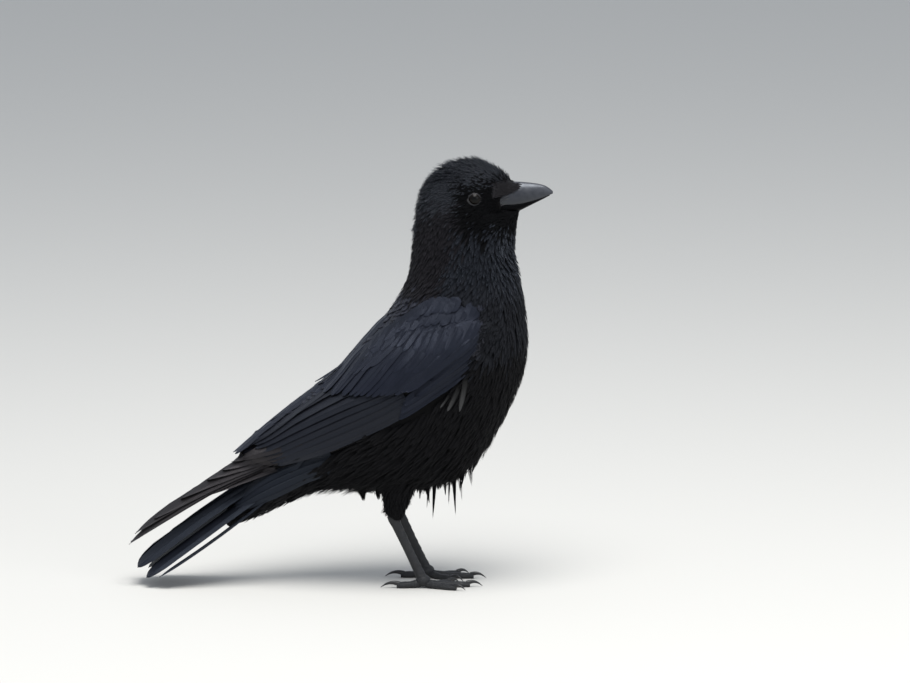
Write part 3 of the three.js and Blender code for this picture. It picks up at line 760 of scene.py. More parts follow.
class Feather:
    """One large feather: its shaft's line, where it rests, its webs' widths and how it lies."""

    def __init__(self, rest, line, side, webs, rises, tip, **more):
        self.rest, self.line, self.side = rest, np.asarray(line), side
        self.low, self.high = webs
        self.low_rise, self.high_rise = rises
        self.tip_share, self.tip_power = tip
        self.sink = more.get("sink", 1.5)
        self.camber = more.get("camber", 0.4)
        self.shaft = more.get("shaft", 0.35)
        self.stiff = more.get("stiff", 0.3)
        self.lift = more.get("lift", 0.0)
        self.root = more.get("root", 0.5)
        self.split = more.get("split", 0.12)

    def outline(self, marks):
        """Share of the full width at shares of the length: narrow root, full web, round tip."""
        rise = np.clip(marks / 0.25, 0.0, 1.0)
        grown = self.root + (1.0 - self.root) * rise * (2.0 - rise)
        past = np.clip((marks - 1.0 + self.tip_share) / self.tip_share, 0.0, 1.0)
        closing = np.maximum(1.0 - past ** self.tip_power, 0.0) ** (1.0 / self.tip_power)
        return grown * np.maximum(closing, 0.05)

    def rings(self, marks, notch):
        """Points of the feather's rings, an array (mark, point, xyz)."""
        share = np.linspace(0.0, 1.0, len(self.line))
        degree = min(len(self.line) - 1, 3)
        fitted = [np.polyval(np.polyfit(share, self.line[:, axis], degree), marks) for axis in range(3)]
        base, outward = self.rest(np.stack(fitted, axis=1))
        flow = unit(np.gradient(base, axis=0))
        low_way = unit(np.cross(outward, flow)) * -self.side
        turn = -self.side
        spread = np.concatenate([UPPER_POINTS * turn, UNDER_POINTS * turn])
        web = self.outline(marks)
        width = np.where(spread < 0.0, self.low, self.high) * MM
        reach = spread * width * web[:, None]
        ragged = 1.0 + rng.normal(0.0, 0.012, (len(marks), RING))
        ragged[notch, :] -= self.split * (np.abs(spread) > 0.9) * rng.random(RING) ** 2
        reach = reach * np.where(np.abs(spread) > 0.9, ragged, 1.0)
        flat = base[:, None, :] - low_way[:, None, :] * reach[:, :, None]
        rested, facing = self.rest(flat.reshape(-1, 3))
        rested, facing = rested.reshape(flat.shape), facing.reshape(flat.shape)
        spots = rested + (flat - rested) * self.stiff
        height = 0.5 * (self.low_rise + self.high_rise) + 0.5 * spread * (self.high_rise - self.low_rise)
        height = np.tile(height + self.camber * (1.0 - spread ** 2), (len(marks), 1))
        taper = (1.0 - 0.75 * marks)[:, None]
        middle = (np.arange(RING) == 3)[None, :]
        under = (np.arange(RING) >= len(UPPER_POINTS))[None, :]
        height += self.shaft * taper * middle
        height -= (0.25 + 0.35 * taper) * under * web[:, None]
        height -= self.sink * np.clip(1.0 - marks / 0.4, 0.0, 1.0)[:, None] ** 1.5
        height += self.lift * marks[:, None] ** 2
        return spots + facing * (height * MM)[:, :, None]


def large_piece(name, feathers, stations, material, replaced=()):
    """A joined mesh of large feathers, each a strip of its own on the piece's map."""
    marks = np.linspace(0.0, 1.0, stations) ** 0.9
    tip_marks = np.array([0.93, 0.965, 0.985])
    marks = np.sort(np.concatenate([marks, tip_marks]))
    count = len(marks)
    faces, corners = [], []
    for k in range(count - 1):
        for j in range(RING):
            j_next = (j + 1) % RING
            faces.append((k * RING + j, k * RING + j_next, (k + 1) * RING + j_next, (k + 1) * RING + j))
            upper = j < len(UPPER_POINTS) - 1
            corners += [(k, j, upper), (k, j_next, upper), (k + 1, j_next, upper), (k + 1, j, upper)]
    faces.append(tuple(range(RING - 1, -1, -1)))
    corners += [(0, j, True) for j in range(RING - 1, -1, -1)]
    faces.append(tuple((count - 1) * RING + j for j in range(RING)))
    corners += [(count - 1, j, True) for j in range(RING)]
    corner_mark = np.array([corner[0] for corner in corners])
    corner_point = np.array([corner[1] for corner in corners])
    corner_upper = np.array([corner[2] for corner in corners])
    verts, vane, bake = [], [], []
    for i, feather in enumerate(feathers):
        notch = int(rng.integers(count // 3, count - 5))
        own = marks.copy()
        own[notch] = own[notch - 1] + 0.35 * (own[notch] - own[notch - 1])
        verts.append(feather.rings(own, notch).reshape(-1, 3))
        spread = np.concatenate([UPPER_POINTS, UNDER_POINTS]) * -feather.side
        across = 0.5 + 0.5 * spread[corner_point]
        along = own[corner_mark]
        vane.append(np.stack([across, along], axis=1))
        column = i + np.where(corner_upper, 0.04, 0.54) + 0.42 * across
        bake.append(np.stack([column / len(feathers), 0.02 + 0.96 * along], axis=1))
    kinds = np.zeros(RING, int)
    kinds[0], kinds[len(UPPER_POINTS) - 1] = 1, 2
    mesh = tiled_mesh(name, np.concatenate(verts), faces, RING * count,
                      {"vane": np.concatenate(vane), "OFBake": np.concatenate(bake)}, np.tile(kinds, count))
    return add_piece(name, mesh, material, replaced)


def along_side(side, rows):
    """Places on the form beside the bird for rows of x and z in millimetres."""
    return np.array([form.beside(side, x, z) for x, z in rows])


def between(line, share):
    """A point part of the way along a polyline of x and z."""
    line = np.asarray(line, float)
    run = run_along(line)
    return np.array([np.interp(share * run[-1], run, line[:, axis]) for axis in range(2)])


def feather_row(side, count, roots, tips, webs, rises, tip, loose=0.7, **more):
    """A row of feathers on the form, from the lowest to the highest, between two lines of x and z."""
    made = []
    for i in range(count):
        share = i / (count - 1)
        root, end = between(roots, share), between(tips, share)
        root = root + rng.normal(0.0, loose, 2)
        end = end + rng.normal(0.0, loose, 2)
        line = along_side(side, [root, 0.5 * (root + end), end])
        jitter = rng.normal(0.0, 0.12)
        lifted = (rises[0] + jitter, rises[1] + jitter)
        made.append(Feather(form.nearest, line, side, webs, lifted, tip, **more))
    return made


# ------------------------------------------------------------------ wings
# Secondaries and tertials from the lowest edge of the folded wing to the back: root, middle and
# tip of each shaft as x and z, then the widths of the low web and the high web.
SECONDARIES = [
    ((-8, 157), (-60, 129.5), (-122, 104.5), 3.2, 13),
    ((-12, 161), (-63, 134.5), (-128, 106), 3.4, 13),
    ((-16, 165), (-66, 139.5), (-132, 108), 3.6, 13),
    ((-20, 168), (-69, 144.0), (-135.5, 110.5), 3.8, 13),
    ((-24, 171), (-72, 148.5), (-138, 113.5), 4.0, 13),
    ((-28, 174), (-75, 153.0), (-140.5, 116.5), 4.4, 13),
    ((-44, 179), (-86, 155.5), (-141.5, 119), 6.0, 12),
    ((-52, 184), (-94, 156.5), (-147, 118), 6.5, 11),
    ((-62, 188), (-102, 157.5), (-152.5, 113.5), 7.0, 9),
]
# Rows of coverts from the wrist up to the shoulder, each laid over the ones before: how many
# feathers, the lines of x and z that their roots and their tips lie on, the widths of the low and
# the high web, how far those webs' edges stand up, the tip's share of the length and its roundness.
COVERT_ROWS = [
    # primary coverts and alula
    (3, [(33, 184.5), (38, 197)], [(-21, 147.5), (-18, 159)], (3.0, 5.2), (1.7, -1.3), (0.3, 2.2),
     dict(sink=0.8, loose=0.3)),
    (2, [(42, 206.5), (43, 211)], [(-8, 167), (3, 181)], (3.0, 5.4), (2.6, -0.9), (0.3, 2.0),
     dict(sink=1.0, loose=0.3)),
    # greater, median and lesser coverts
    (15, [(43, 218), (39, 228), (4, 224), (-45, 207)], [(-15, 171), (-28, 168), (-52, 165), (-81, 163)],
     (4.2, 7.0), (2.7, 1.3), (0.25, 2.2), dict(sink=1.4, stiff=0.1)),
    (12, [(44, 219), (20, 213), (-20, 212), (-45, 202)], [(22, 199), (-4, 187), (-44, 186), (-66, 176)],
     (5.4, 6.6), (2.7, 2.0), (0.5, 2.0), dict(sink=1.8, camber=0.3, stiff=0.05)),
    (15, [(44, 231), (24, 226), (-6, 224), (-30, 216)], [(33, 211), (10, 200), (-22, 204), (-46, 200)],
     (4.8, 5.2), (2.5, 2.1), (0.5, 2.0), dict(loose=0.9, sink=1.6, camber=0.3, stiff=0.05)),
    # scapulars and two shorter rows over the shoulder
    (16, [(44, 238), (28, 231), (12, 231), (-4, 227), (-26, 213), (-44, 201)],
     [(29, 222), (12, 215), (-4, 215), (-20, 210), (-42, 194), (-61, 183)],
     (5.0, 5.0), (1.8, 1.5), (0.5, 2.0), dict(loose=1.1, sink=2.2, camber=0.35, shaft=0.2, stiff=0.05)),
    (15, [(40, 241), (30, 240), (17, 240), (3, 236), (-20, 222), (-40, 209)],
     [(34, 228), (20, 224), (5, 224), (-12, 219), (-34, 203), (-53, 191)],
     (4.6, 4.6), (2.3, 2.1), (0.55, 2.0), dict(loose=1.0, sink=3.4, camber=0.3, shaft=0.15, stiff=0.0)),
    (16, [(29, 246), (24, 247), (16, 248), (6, 244), (-14, 231), (-33, 219)],
     [(22, 234), (15, 233), (5, 233), (-7, 229), (-26, 215), (-45, 201)],
     (4.6, 4.6), (2.7, 2.5), (0.55, 2.0), dict(loose=1.0, sink=3.4, camber=0.3, shaft=0.15, stiff=0.0)),
]
LOWEST_GREATER = 5  # place of the lowest greater covert among all these feathers
OVER_ALULA = (1.4, 0.7)  # how much further the two lowest greater coverts stand up, over the alula

# The folded primaries lie on a sheet beside the tail, under the secondaries: its line as x and z,
# how far out it lies at each end, how it leans in towards its upper edge, and how it bows.
SHEET_ROOT, SHEET_TIP = np.array([-60.0, 134.0]), np.array([-246.0, 35.0])
SHEET_OUT = (20.5, 12.0)
SHEET_LEAN = (0.35, 0.75)
SHEET_BOW = 0.012
SHEET_MIDDLE = 4.0
# The primaries from the lowest to the highest, as for the secondaries.
PRIMARIES = [
    ((-70, 121.5), (-128, 98.5), (-192, 72.5), 2.6, 7),
    ((-68, 124.0), (-150, 93.5), (-238, 40.5), 2.8, 8),
    ((-66, 126.0), (-150, 95.5), (-246, 35.2), 3.2, 9),
    ((-64, 129.0), (-148, 98.0), (-241, 43.5), 3.4, 9),
    ((-62, 131.0), (-136, 102.5), (-225, 55.5), 4.0, 10),
    ((-60, 134.0), (-132, 106.0), (-203, 71.5), 4.6, 11),
    ((-58, 137.0), (-126, 110.5), (-181, 87.0), 5.0, 10),
    ((-57, 140.0), (-122, 114.5), (-168, 95.5), 5.0, 9),
    ((-56, 143.0), (-118, 119.5), (-160, 102.5), 5.0, 8),
]


LEFT_LOWER = 3.6  # how much lower the left primaries lie than the right ones


def onto_sheet(side):
    """A rest for the primaries: beside the body where they leave it, then on a sheet behind it."""
    run = SHEET_TIP - SHEET_ROOT
    length = np.linalg.norm(run)
    run = run / length
    over = np.array([run[1], -run[0]])

    def body_out(x, z):
        hit = form.out_at(side, x, z, FAR_OUT - 5.0)
        return 0.0 if hit is None else abs(hit[1]) / MM

    def rest(spots):
        flat = in_millimetres(spots)[:, [0, 2]]
        along = (flat - SHEET_ROOT) @ run
        above = (flat - SHEET_ROOT) @ over
        above = above - SHEET_MIDDLE
        slope = SHEET_LEAN[0] + (SHEET_LEAN[1] - SHEET_LEAN[0]) * np.clip((along - 80.0) / 50.0, 0.0, 1.0)
        out = SHEET_OUT[0] + (SHEET_OUT[1] - SHEET_OUT[0]) * np.clip(along / length, 0.0, 1.1)
        out = out - slope * above - SHEET_BOW * above ** 2
        covered = np.array([body_out(x, z) for x, z in flat])
        beside = covered - 2.4 + 2.8 * np.clip((along - 50.0) / 35.0, 0.0, 1.0)
        points = spots.copy()
        points[:, 1] = side * np.maximum(out, np.where(covered > 0.0, beside, 0.0)) * MM
        tilt = slope + 2.0 * SHEET_BOW * above
        outward = np.stack([tilt * over[0], np.full(len(spots), float(side)), tilt * over[1]], axis=1)
        return points, unit(outward)

    return rest


def add_wing(side):
    """Covert rows, secondaries and primaries of one folded wing."""
    which = SIDE_NAME[side]
    made = []
    for i, (root, middle, tip, low, high) in enumerate(SECONDARIES):
        line = along_side(side, [root, middle, tip])
        rises = (1.3 + 0.06 * i, -1.3 + 0.06 * i)
        round_tip = (0.14 if i < 6 else 0.20, 2.0)
        made.append(Feather(form.nearest, line, side, (low, high), rises, round_tip, sink=2.0, stiff=0.4,
                            split=0.03))
    large_piece("secondary_vanes_" + which, made, 16, WING_VANE,
                [f"secondaries_{which}"])
    made = []
    rest = onto_sheet(side)
    lower = LEFT_LOWER if side == LEFT else 0.0
    for i, (root, middle, tip, low, high) in enumerate(PRIMARIES):
        line = np.array([place(x, 0.0, z - lower) for x, z in (root, middle, tip)])
        rises = (0.6 + 0.32 * i, -2.2 + 0.32 * i)
        pointed = (0.26, 1.7) if i < 5 else (0.36, 1.45)
        made.append(Feather(rest, line, side, (low, high), rises, pointed, sink=0.5, camber=0.25,
                            stiff=0.0, split=0.08))
    large_piece("primary_vanes_" + which, made, 18, PRIMARY_VANE,
                [f"primaries_{which}"])
    rows = []
    for *row, more in COVERT_ROWS:
        rows += feather_row(side, *row, **more)
    for i, further in enumerate(OVER_ALULA):
        rows[LOWEST_GREATER + i].low_rise += further
    large_piece("covert_vanes_" + which, rows, 8, COVERT_VANE)


# Ridge of the back from the mantle to the rump, as x and z, and how it rounds off to each side.
BACK_LINE = np.array([(-165, 104), (-148, 119.2), (-130, 134.8), (-110, 151), (-90, 166), (-70, 182.7),
                      (-50, 206.6), (-30, 229.7), (-20, 244.3)])
BACK_ROUND = 0.018
BACK_ROWS, BACK_START, BACK_STEP = 16, -30.0, 6.8


def over_back(spots):
    """A rest for the back's feathers: an arch that bridges the hollow between the folded wings."""
    at = in_millimetres(spots)
    height = np.interp(at[:, 0], BACK_LINE[:, 0], BACK_LINE[:, 1]) - BACK_ROUND * at[:, 1] ** 2
    slope = 0.5 * (np.interp(at[:, 0] + 1.0, BACK_LINE[:, 0], BACK_LINE[:, 1])
                   - np.interp(at[:, 0] - 1.0, BACK_LINE[:, 0], BACK_LINE[:, 1]))
    points = spots.copy()
    points[:, 2] = height * MM
    return points, unit(np.stack([-slope, 2.0 * BACK_ROUND * at[:, 1], np.ones(len(spots))], axis=1))


def add_back():
    """Broad overlapping feathers down the middle of the back and the rump, between the wings."""
    made = []
    for k in range(BACK_ROWS):
        start = BACK_START - BACK_STEP * k
        spread = 4.6 if k < 6 else 2.6
        for j in range(4 if k % 2 else 3):
            out = spread * (2 * j - (3 if k % 2 else 2)) + rng.normal(0.0, 0.5)
            x = start + rng.normal(0.0, 0.8) - np.array([0.0, 13.0, 26.0])
            line = np.array([place(a, out, 0.0) for a in x])
            made.append(Feather(over_back, line, LEFT if out > 0 else RIGHT, (6.4, 6.4), (0.9, 0.9),
                                (0.5, 2.0), sink=2.4, camber=0.4, shaft=0.25, stiff=0.05))
    # One narrow loose feather whose tip stands up from the lower back.
    displaced = np.array([place(x, -5.5, 0.0) for x in (-62.0, -75.0, -88.0)])
    made.append(Feather(over_back, displaced, RIGHT, (2.6, 2.6), (1.8, 1.8), (0.3, 1.6), sink=2.4, lift=3.2))
    large_piece("back_vanes", made, 8, COVERT_VANE)


# ------------------------------------------------------------------ tail
TAIL_ROOT_X, TAIL_ROOT_Z = -86.0, 120.0
TAIL_DIP = math.radians(34.6)
TAIL_SPREADS = (14.0, 22.0, 32.0)  # half width of the fan at the roots, middles and tips
# The fan closes into three layers: how far out from the middle each reaches as a share, the x and z
# of the middle and tip of its shafts, its low and high webs' widths, and its tilt outwards.
TAIL_LAYERS = [
    (0.5, (-163.0, 71.5), (-239.0, 15.6), (6.5, 9.0), 0.80),
    (0.8, (-159.0, 61.5), (-231.5, 9.6), (5.0, 8.0), 0.80),
    (1.0, (-153.5, 56.5), (-220.5, 11.8), (3.0, 5.0), 0.35),
]


def tail_feather(i):
    """One of twelve tail feathers, from the right edge to the left."""
    share = (i + 0.5) / 6.0 - 1.0
    away = abs(share)
    side = RIGHT if share < 0 else LEFT
    _, (middle_x, middle_z), (tip_x, tip_z), webs, tilt = next(row for row in TAIL_LAYERS if away < row[0])
    root_y, middle_y, tip_y = (spread * share for spread in TAIL_SPREADS)
    root = (TAIL_ROOT_X, root_y, TAIL_ROOT_Z - 8.0 * away ** 1.3)
    middle = (middle_x, middle_y, middle_z)
    tip = (tip_x, tip_y, tip_z - 1.2 * away)
    over = np.array([-math.sin(TAIL_DIP), side * tilt, math.cos(TAIL_DIP)])
    over = over / np.linalg.norm(over)

    def rest(spots):
        return spots.copy(), np.tile(over, (len(spots), 1))

    line = places([root, middle, tip])
    height = 2.0 * (1.0 - away)
    return Feather(rest, line, side, webs, (height - 0.2, height - 1.2), (0.13, 2.0), sink=0.0,
                   camber=0.5, shaft=0.45, stiff=0.0, split=0.08)


# Feathers that lie beside the root of the tail, over the tail coverts: root and tip as x and z.
TAIL_SIDE_ROOTS = [(-74, 103), (-78, 117)]
TAIL_SIDE_TIPS = [(-160, 63), (-168, 76)]


def add_tail():
    for side in (RIGHT, LEFT):
        rows = feather_row(side, 4, TAIL_SIDE_ROOTS, TAIL_SIDE_TIPS, (3.6, 6.0), (1.4, 0.0), (0.2, 2.0),
                           sink=2.0, stiff=0.4)
        large_piece("tail_side_vanes_" + SIDE_NAME[side], rows, 12, TAIL_VANE)
    large_piece("tail_vanes", [tail_feather(i) for i in range(12)], 18, TAIL_VANE,
                ["tail"])


# Pale worn feathers that show below the right wing: root, middle and tip as x and z, and half width.
PALE_FEATHERS = [
    ((34.0, 183.0), (31.8, 170.0), (28.2, 153.0), 2.3),
    ((30.0, 177.0), (23.4, 163.5), (18.4, 153.6), 2.0),
    ((21.0, 168.0), (16.4, 162.0), (12.4, 156.6), 1.1),
]


def pale_material():
    """Grey down that fades from the dark root and dark edges to a streaky pale tip."""
    mat, tree, shader = principled("pale_feather", (0.05, 0.05, 0.052), 0.8, 0.1)
    vane = add_group(tree, BARBS, Across=10.0, Along=50.0)
    where = vane_place(tree)
    streaks = noise(tree, stretched(tree, where, (9.0, 1.4, 1.0)), 1.0)
    off = math_node(tree, "ABSOLUTE", math_node(tree, "MULTIPLY_ADD", parted(tree, where)["X"], 2.0, -1.0))
    inner = math_node(tree, "SUBTRACT", 1.0, math_node(tree, "POWER", off, 2.5))
    share = math_node(tree, "POWER", vane["Tip"], 1.5)
    streaky = math_node(tree, "MULTIPLY", inner, math_node(tree, "MULTIPLY_ADD", streaks, 1.6, 0.1))
    shade = math_node(tree, "MULTIPLY_ADD", math_node(tree, "MULTIPLY", share, streaky), 0.95, 0.08)
    shade_base(tree, shader, (0.078, 0.078, 0.080), shade)
    add_bump(tree, shader, vane["Height"], 0.5, 0.12)
    return mat


def add_pale_feathers():
    made = []
    for root, middle, end, half in PALE_FEATHERS:
        line = along_side(RIGHT, [root, middle, end])
        made.append(Feather(form.nearest, line, RIGHT, (half, half), (1.5, 1.5), (0.3, 1.6), sink=3.0,
                            split=0.4))
    large_piece("pale_flank_feathers", made, 14, pale_material())


COVERT_VANE = feather_material("covert_vane", (0.0049, 0.0056, 0.0098), 0.48, (0.66, 0.75, 1.0), 0.31,
                               (10.0, 60.0), 0.08)
WING_VANE = feather_material("secondary_vane", (0.0062, 0.0067, 0.0093), 0.45, (0.73, 0.80, 1.0), 0.32,
                             (14.0, 190.0), 0.08)
PRIMARY_VANE = feather_material("primary_vane", (0.0120, 0.0108, 0.0112), 0.46, (0.94, 0.88, 0.94), 0.36,
                                (14.0, 230.0), 0.08)
TAIL_VANE = feather_material("tail_vane", (0.0046, 0.0052, 0.0080), 0.44, (0.66, 0.78, 1.0), 0.33,
                             (14.0, 230.0), 0.08)

for flank in (RIGHT, LEFT):
    add_wing(flank)
add_back()
add_tail()
add_pale_feathers()

# ------------------------------------------------------------------ shapes for bill, eyes and feet


def rings_mesh(name, rings, closed_ends=True):
    """A closed mesh through rings of points, an array (ring, point, xyz), with an even map."""
    count, sides = rings.shape[:2]
    faces, uvs = [], []
    for k in range(count - 1):
        for j in range(sides):
            n = (j + 1) % sides
            faces.append((k * sides + j, k * sides + n, (k + 1) * sides + n, (k + 1) * sides + j))
            left, right = j / sides, (j + 1) / sides
            low, high = k / (count - 1), (k + 1) / (count - 1)
            uvs += [(left, low), (right, low), (right, high), (left, high)]
    if closed_ends:
        faces.append(tuple(range(sides - 1, -1, -1)))
        faces.append(tuple((count - 1) * sides + j for j in range(sides)))
        uvs += [(j / sides, 0.0) for j in range(sides - 1, -1, -1)]
        uvs += [(j / sides, 1.0) for j in range(sides)]
    mesh = bpy.data.meshes.new(name)
    mesh.from_pydata(rings.reshape(-1, 3).tolist(), [], faces)
    layer = mesh.uv_layers.new(name="shape")
    layer.uv.foreach_set("vector", np.array(uvs).ravel())
    mesh.polygons.foreach_set("use_smooth", np.ones(len(faces), bool))
    return outward_mesh(mesh)


def outward_mesh(mesh, weld=0.0):
    """The same mesh with points nearer than weld joined and its faces turned outwards."""
    bm = bmesh.new()
    bm.from_mesh(mesh)
    if weld:
        bmesh.ops.remove_doubles(bm, verts=bm.verts, dist=weld)
    bmesh.ops.recalc_face_normals(bm, faces=bm.faces)
    bm.to_mesh(mesh)
    bm.free()
    mesh.update()
    return mesh


def merged_mesh(name, meshes):
    """Several meshes joined as one."""
    bm = bmesh.new()
    for mesh in meshes:
        bm.from_mesh(mesh)
    joined = bpy.data.meshes.new(name)
    bm.to_mesh(joined)
    bm.free()
    return joined


def tube_rings(path, radii, sides, shape=None):
    """Rings round a path in millimetres; shape gives a factor for each ring and turn."""
    path = np.asarray(path, float)
    ahead = unit(np.gradient(path, axis=0))
    across = unit(np.cross(np.array([0.0, 0.0, 1.0]), ahead))
    over = np.cross(ahead, across)
    turns = full_turn(sides)
    grown = np.asarray(radii, float)[:, None] * np.ones(sides)
    if shape is not None:
        grown = grown * shape(np.linspace(0.0, 1.0, len(path))[:, None], turns[None, :])
    spots = path[:, None, :] + grown[:, :, None] * (
        np.cos(turns)[None, :, None] * over[:, None, :] + np.sin(turns)[None, :, None] * across[:, None, :])
    return spots


def smooth_table(table, count):
    """A table of rows read at evenly spaced places along its first column, with rounded bends."""
    table = np.asarray(table, float)
    marks = np.linspace(table[0, 0], table[-1, 0], count)
    fine = np.linspace(table[0, 0], table[-1, 0], 400)
    out = [marks]
    kernel = np.hanning(35)
    kernel /= kernel.sum()
    for column in table[:, 1:].T:
        line = np.interp(fine, table[:, 0], column)
        ends = np.concatenate([2 * line[0] - line[17:0:-1], line, 2 * line[-1] - line[-2:-19:-1]])
        out.append(np.interp(marks, fine, np.convolve(ends, kernel, "valid")))
    return np.stack(out, axis=1)


# ------------------------------------------------------------------ bill
# Rows of x, culmen, mouth line, chin and half width.
BILL = [
    (53.5, 335.0, 319.4, 311.5, 9.2),
    (63.0, 337.2, 318.9, 310.9, 8.6),
    (71.4, 337.8, 319.1, 311.7, 7.8),
    (79.0, 337.5, 319.9, 313.6, 6.9),
    (86.0, 336.9, 321.4, 317.2, 5.8),
    (93.0, 336.0, 323.4, 320.7, 4.5),
    (98.8, 334.6, 325.3, 323.6, 3.2),
    (103.0, 332.2, 326.9, 325.9, 1.9),
    (105.6, 329.8, 327.8, 327.3, 0.7),
]
BILL_SHAPE = np.array([(0, 0), (0.22, 0.02), (0.42, 0.07), (0.62, 0.16), (0.78, 0.28), (0.90, 0.44),
                       (0.97, 0.62), (1.0, 0.78), (1.0, 0.90), (0.97, 0.97), (0.88, 1.0)])
MANDIBLE_END = 103.6


def bill_half(name, upper):
    """One half of the bill: a keeled shell with a sharp cutting edge along the mouth line."""
    rings = []
    for x, culmen, mouth, chin, half in smooth_table(BILL, 64):
        if not upper and x > MANDIBLE_END:
            break
        ridge, edge = (culmen, mouth - 0.25) if upper else (chin, mouth - 0.3)
        wide = half if upper else half * 0.95
        profile = [(w * wide, ridge + (edge - ridge) * h) for w, h in BILL_SHAPE]
        profile.append((0.6 * wide, edge + (0.35 if upper else -0.35)))
        points = [(x, y, z) for y, z in profile] + [(x, -y, z) for y, z in profile[:0:-1]]
        rings.append(places(points))
    rings = np.array(rings)
    closing = rings[-1].mean(0)
    rings = np.concatenate([rings, (0.4 * rings[-1] + 0.6 * closing)[None] + np.array([0.0003, 0, 0])])
    mesh = rings_mesh(name, rings)
    horn = UPPER_HORN if upper else LOWER_HORN
    return add_piece(name, mesh, horn, ["bill_upper" if upper else "bill_lower"])


# Heights in metres between which the horn's colour turns from dark to pale, and its shades there:
# shade painted dark low on the bill and a reflection of the sky painted pale along the ridge.
PAINTED_SHADE_AND_REFLECTION = {"From Min": 0.3205, "From Max": 0.337, "To Min": 0.10, "To Max": 2.9}


def horn_material(name, shine):
    """Black horn: soft gloss, fine growth lines, painted shade low down, painted sky reflection on top."""
    mat, tree, shader = principled(name, (0.010, 0.010, 0.012), 0.32, shine, (0.84, 0.90, 1.0))
    where = object_place(tree)
    grain = noise(tree, stretched(tree, where, (0.35, 1.6, 1.6)), 900.0, 4.0)
    mottle = add_group(tree, MOTTLE, Scale=210.0, Depth=1.3)
    # Colour by height: painted shade below the ridge and a painted reflection of the sky along it.
    over = node(tree, "ShaderNodeMapRange")
    for key, value in PAINTED_SHADE_AND_REFLECTION.items():
        over.inputs[key].default_value = value
    link(tree, parted(tree, where)["Z"], over.inputs["Value"])
    shade = math_node(tree, "MULTIPLY", mottle["Shade"], over.outputs["Result"])
    shade_base(tree, shader, (0.011, 0.011, 0.013), shade)
    link(tree, math_node(tree, "MULTIPLY_ADD", mottle["Mask"], 0.46, 0.16), shader.inputs["Roughness"])
    add_bump(tree, shader, grain, 0.35, 0.10)
    return mat


UPPER_HORN = horn_material("upper_horn", 0.80)
LOWER_HORN = horn_material("lower_horn", 0.05)
bill_half("upper_mandible", True)
bill_half("lower_mandible", False)

GAPE_SKIN = principled("gape_skin", (0.026, 0.026, 0.029), 0.5)[0]
# Wrinkles of bare skin at the corner of the mouth: start and end of each as x and z, and width.
GAPE_FOLDS = [
    ((62.2, 323.2), (69.0, 326.4), 0.45),
    ((62.4, 321.6), (70.0, 324.4), 0.50),
    ((62.4, 320.0), (70.5, 322.2), 0.50),
    ((62.8, 318.4), (69.5, 319.9), 0.42),
]
FOLD_SINK = 0.22  # how deep the middle of each fold lies under the cheek


def add_gape_folds():
    """Wrinkles that lie on the cheek and run forwards onto the side of the bill."""
    made = []
    for side in (RIGHT, LEFT):
        for start, end, wide in GAPE_FOLDS:
            shares = np.linspace(0.0, 1.0, 14)
            x = start[0] + (end[0] - start[0]) * shares
            z = start[1] + (end[1] - start[1]) * shares + 0.5 * np.sin(3.1 * shares)
            path = along_side(side, zip(x, z)) / MM
            out = np.convolve(np.pad(np.abs(path[:, 1]), 1, "edge"), (0.25, 0.5, 0.25), "valid")
            path[:, 1] = side * (out - FOLD_SINK)
            radii = wide * (0.25 + 0.75 * np.sin(math.pi * shares) ** 0.6)
            made.append(rings_mesh("fold", tube_rings(path, radii, 8) * MM))
    add_piece("gape_folds", merged_mesh("gape_folds", made), GAPE_SKIN)


add_gape_folds()

# ------------------------------------------------------------------ eyes
EYE_X, EYE_OUT, EYE_Z, EYE_RADIUS = 41.1, 17.4, 325.9, 6.15
# Radius and colour where each ring of the eye starts: pupil, inner iris, outer iris and dark rim.
EYE_RINGS = [
    (2.5, (0.002, 0.002, 0.002)),
    (2.7, (0.0034, 0.0022, 0.0016)),
    (4.6, (0.0028, 0.0019, 0.0015)),
    (4.9, (0.004, 0.003, 0.003)),
]
EYE_SPAN = 10.0  # radius at the end of the eye's colour ramp
LID_WIDE, LID_TALL = 4.7, 4.35  # half sizes of the opening


def eye_material(side):
    """A dark brown iris round a black pupil under a clear wet coat."""
    mat, tree, shader = principled("eye_" + SIDE_NAME[side] + "_gloss", (0.01, 0.008, 0.007), 0.25, 0.1)
    shader.inputs["Coat Weight"].default_value = 0.13
    shader.inputs["Coat IOR"].default_value = 1.38
    shader.inputs["Coat Roughness"].default_value = 0.09
    off = node(tree, "ShaderNodeVectorMath", operation="SUBTRACT")
    off.inputs[1].default_value = place(EYE_X, EYE_OUT * side, EYE_Z)
    link(tree, object_place(tree), off.inputs[0])
    flat = node(tree, "ShaderNodeVectorMath", operation="MULTIPLY")
    flat.inputs[1].default_value = (1.0, 0.0, 1.0)
    link(tree, off.outputs[0], flat.inputs[0])
    size = node(tree, "ShaderNodeVectorMath", operation="LENGTH")
    link(tree, flat.outputs[0], size.inputs[0])
    ramp = node(tree, "ShaderNodeValToRGB")
    rings = ramp.color_ramp.elements
    rings.new(0.5)
    rings.new(0.6)
    for ring, (radius, colour) in zip(rings, EYE_RINGS):
        ring.position = radius / EYE_SPAN
        ring.color = (*colour, 1.0)
    link(tree, math_node(tree, "MULTIPLY", size.outputs["Value"], 1.0 / (EYE_SPAN * MM)), ramp.inputs["Fac"])
    link(tree, ramp.outputs["Color"], shader.inputs["Base Color"])
    return mat


def lid_material():
    mat, tree, shader, mask = mottled("lid_skin", (0.0125, 0.0125, 0.0140), 0.55, 900.0, 0.8, 0.3)
    add_bump(tree, shader, mask, 0.5, 0.12)
    return mat


LID_SKIN = lid_material()


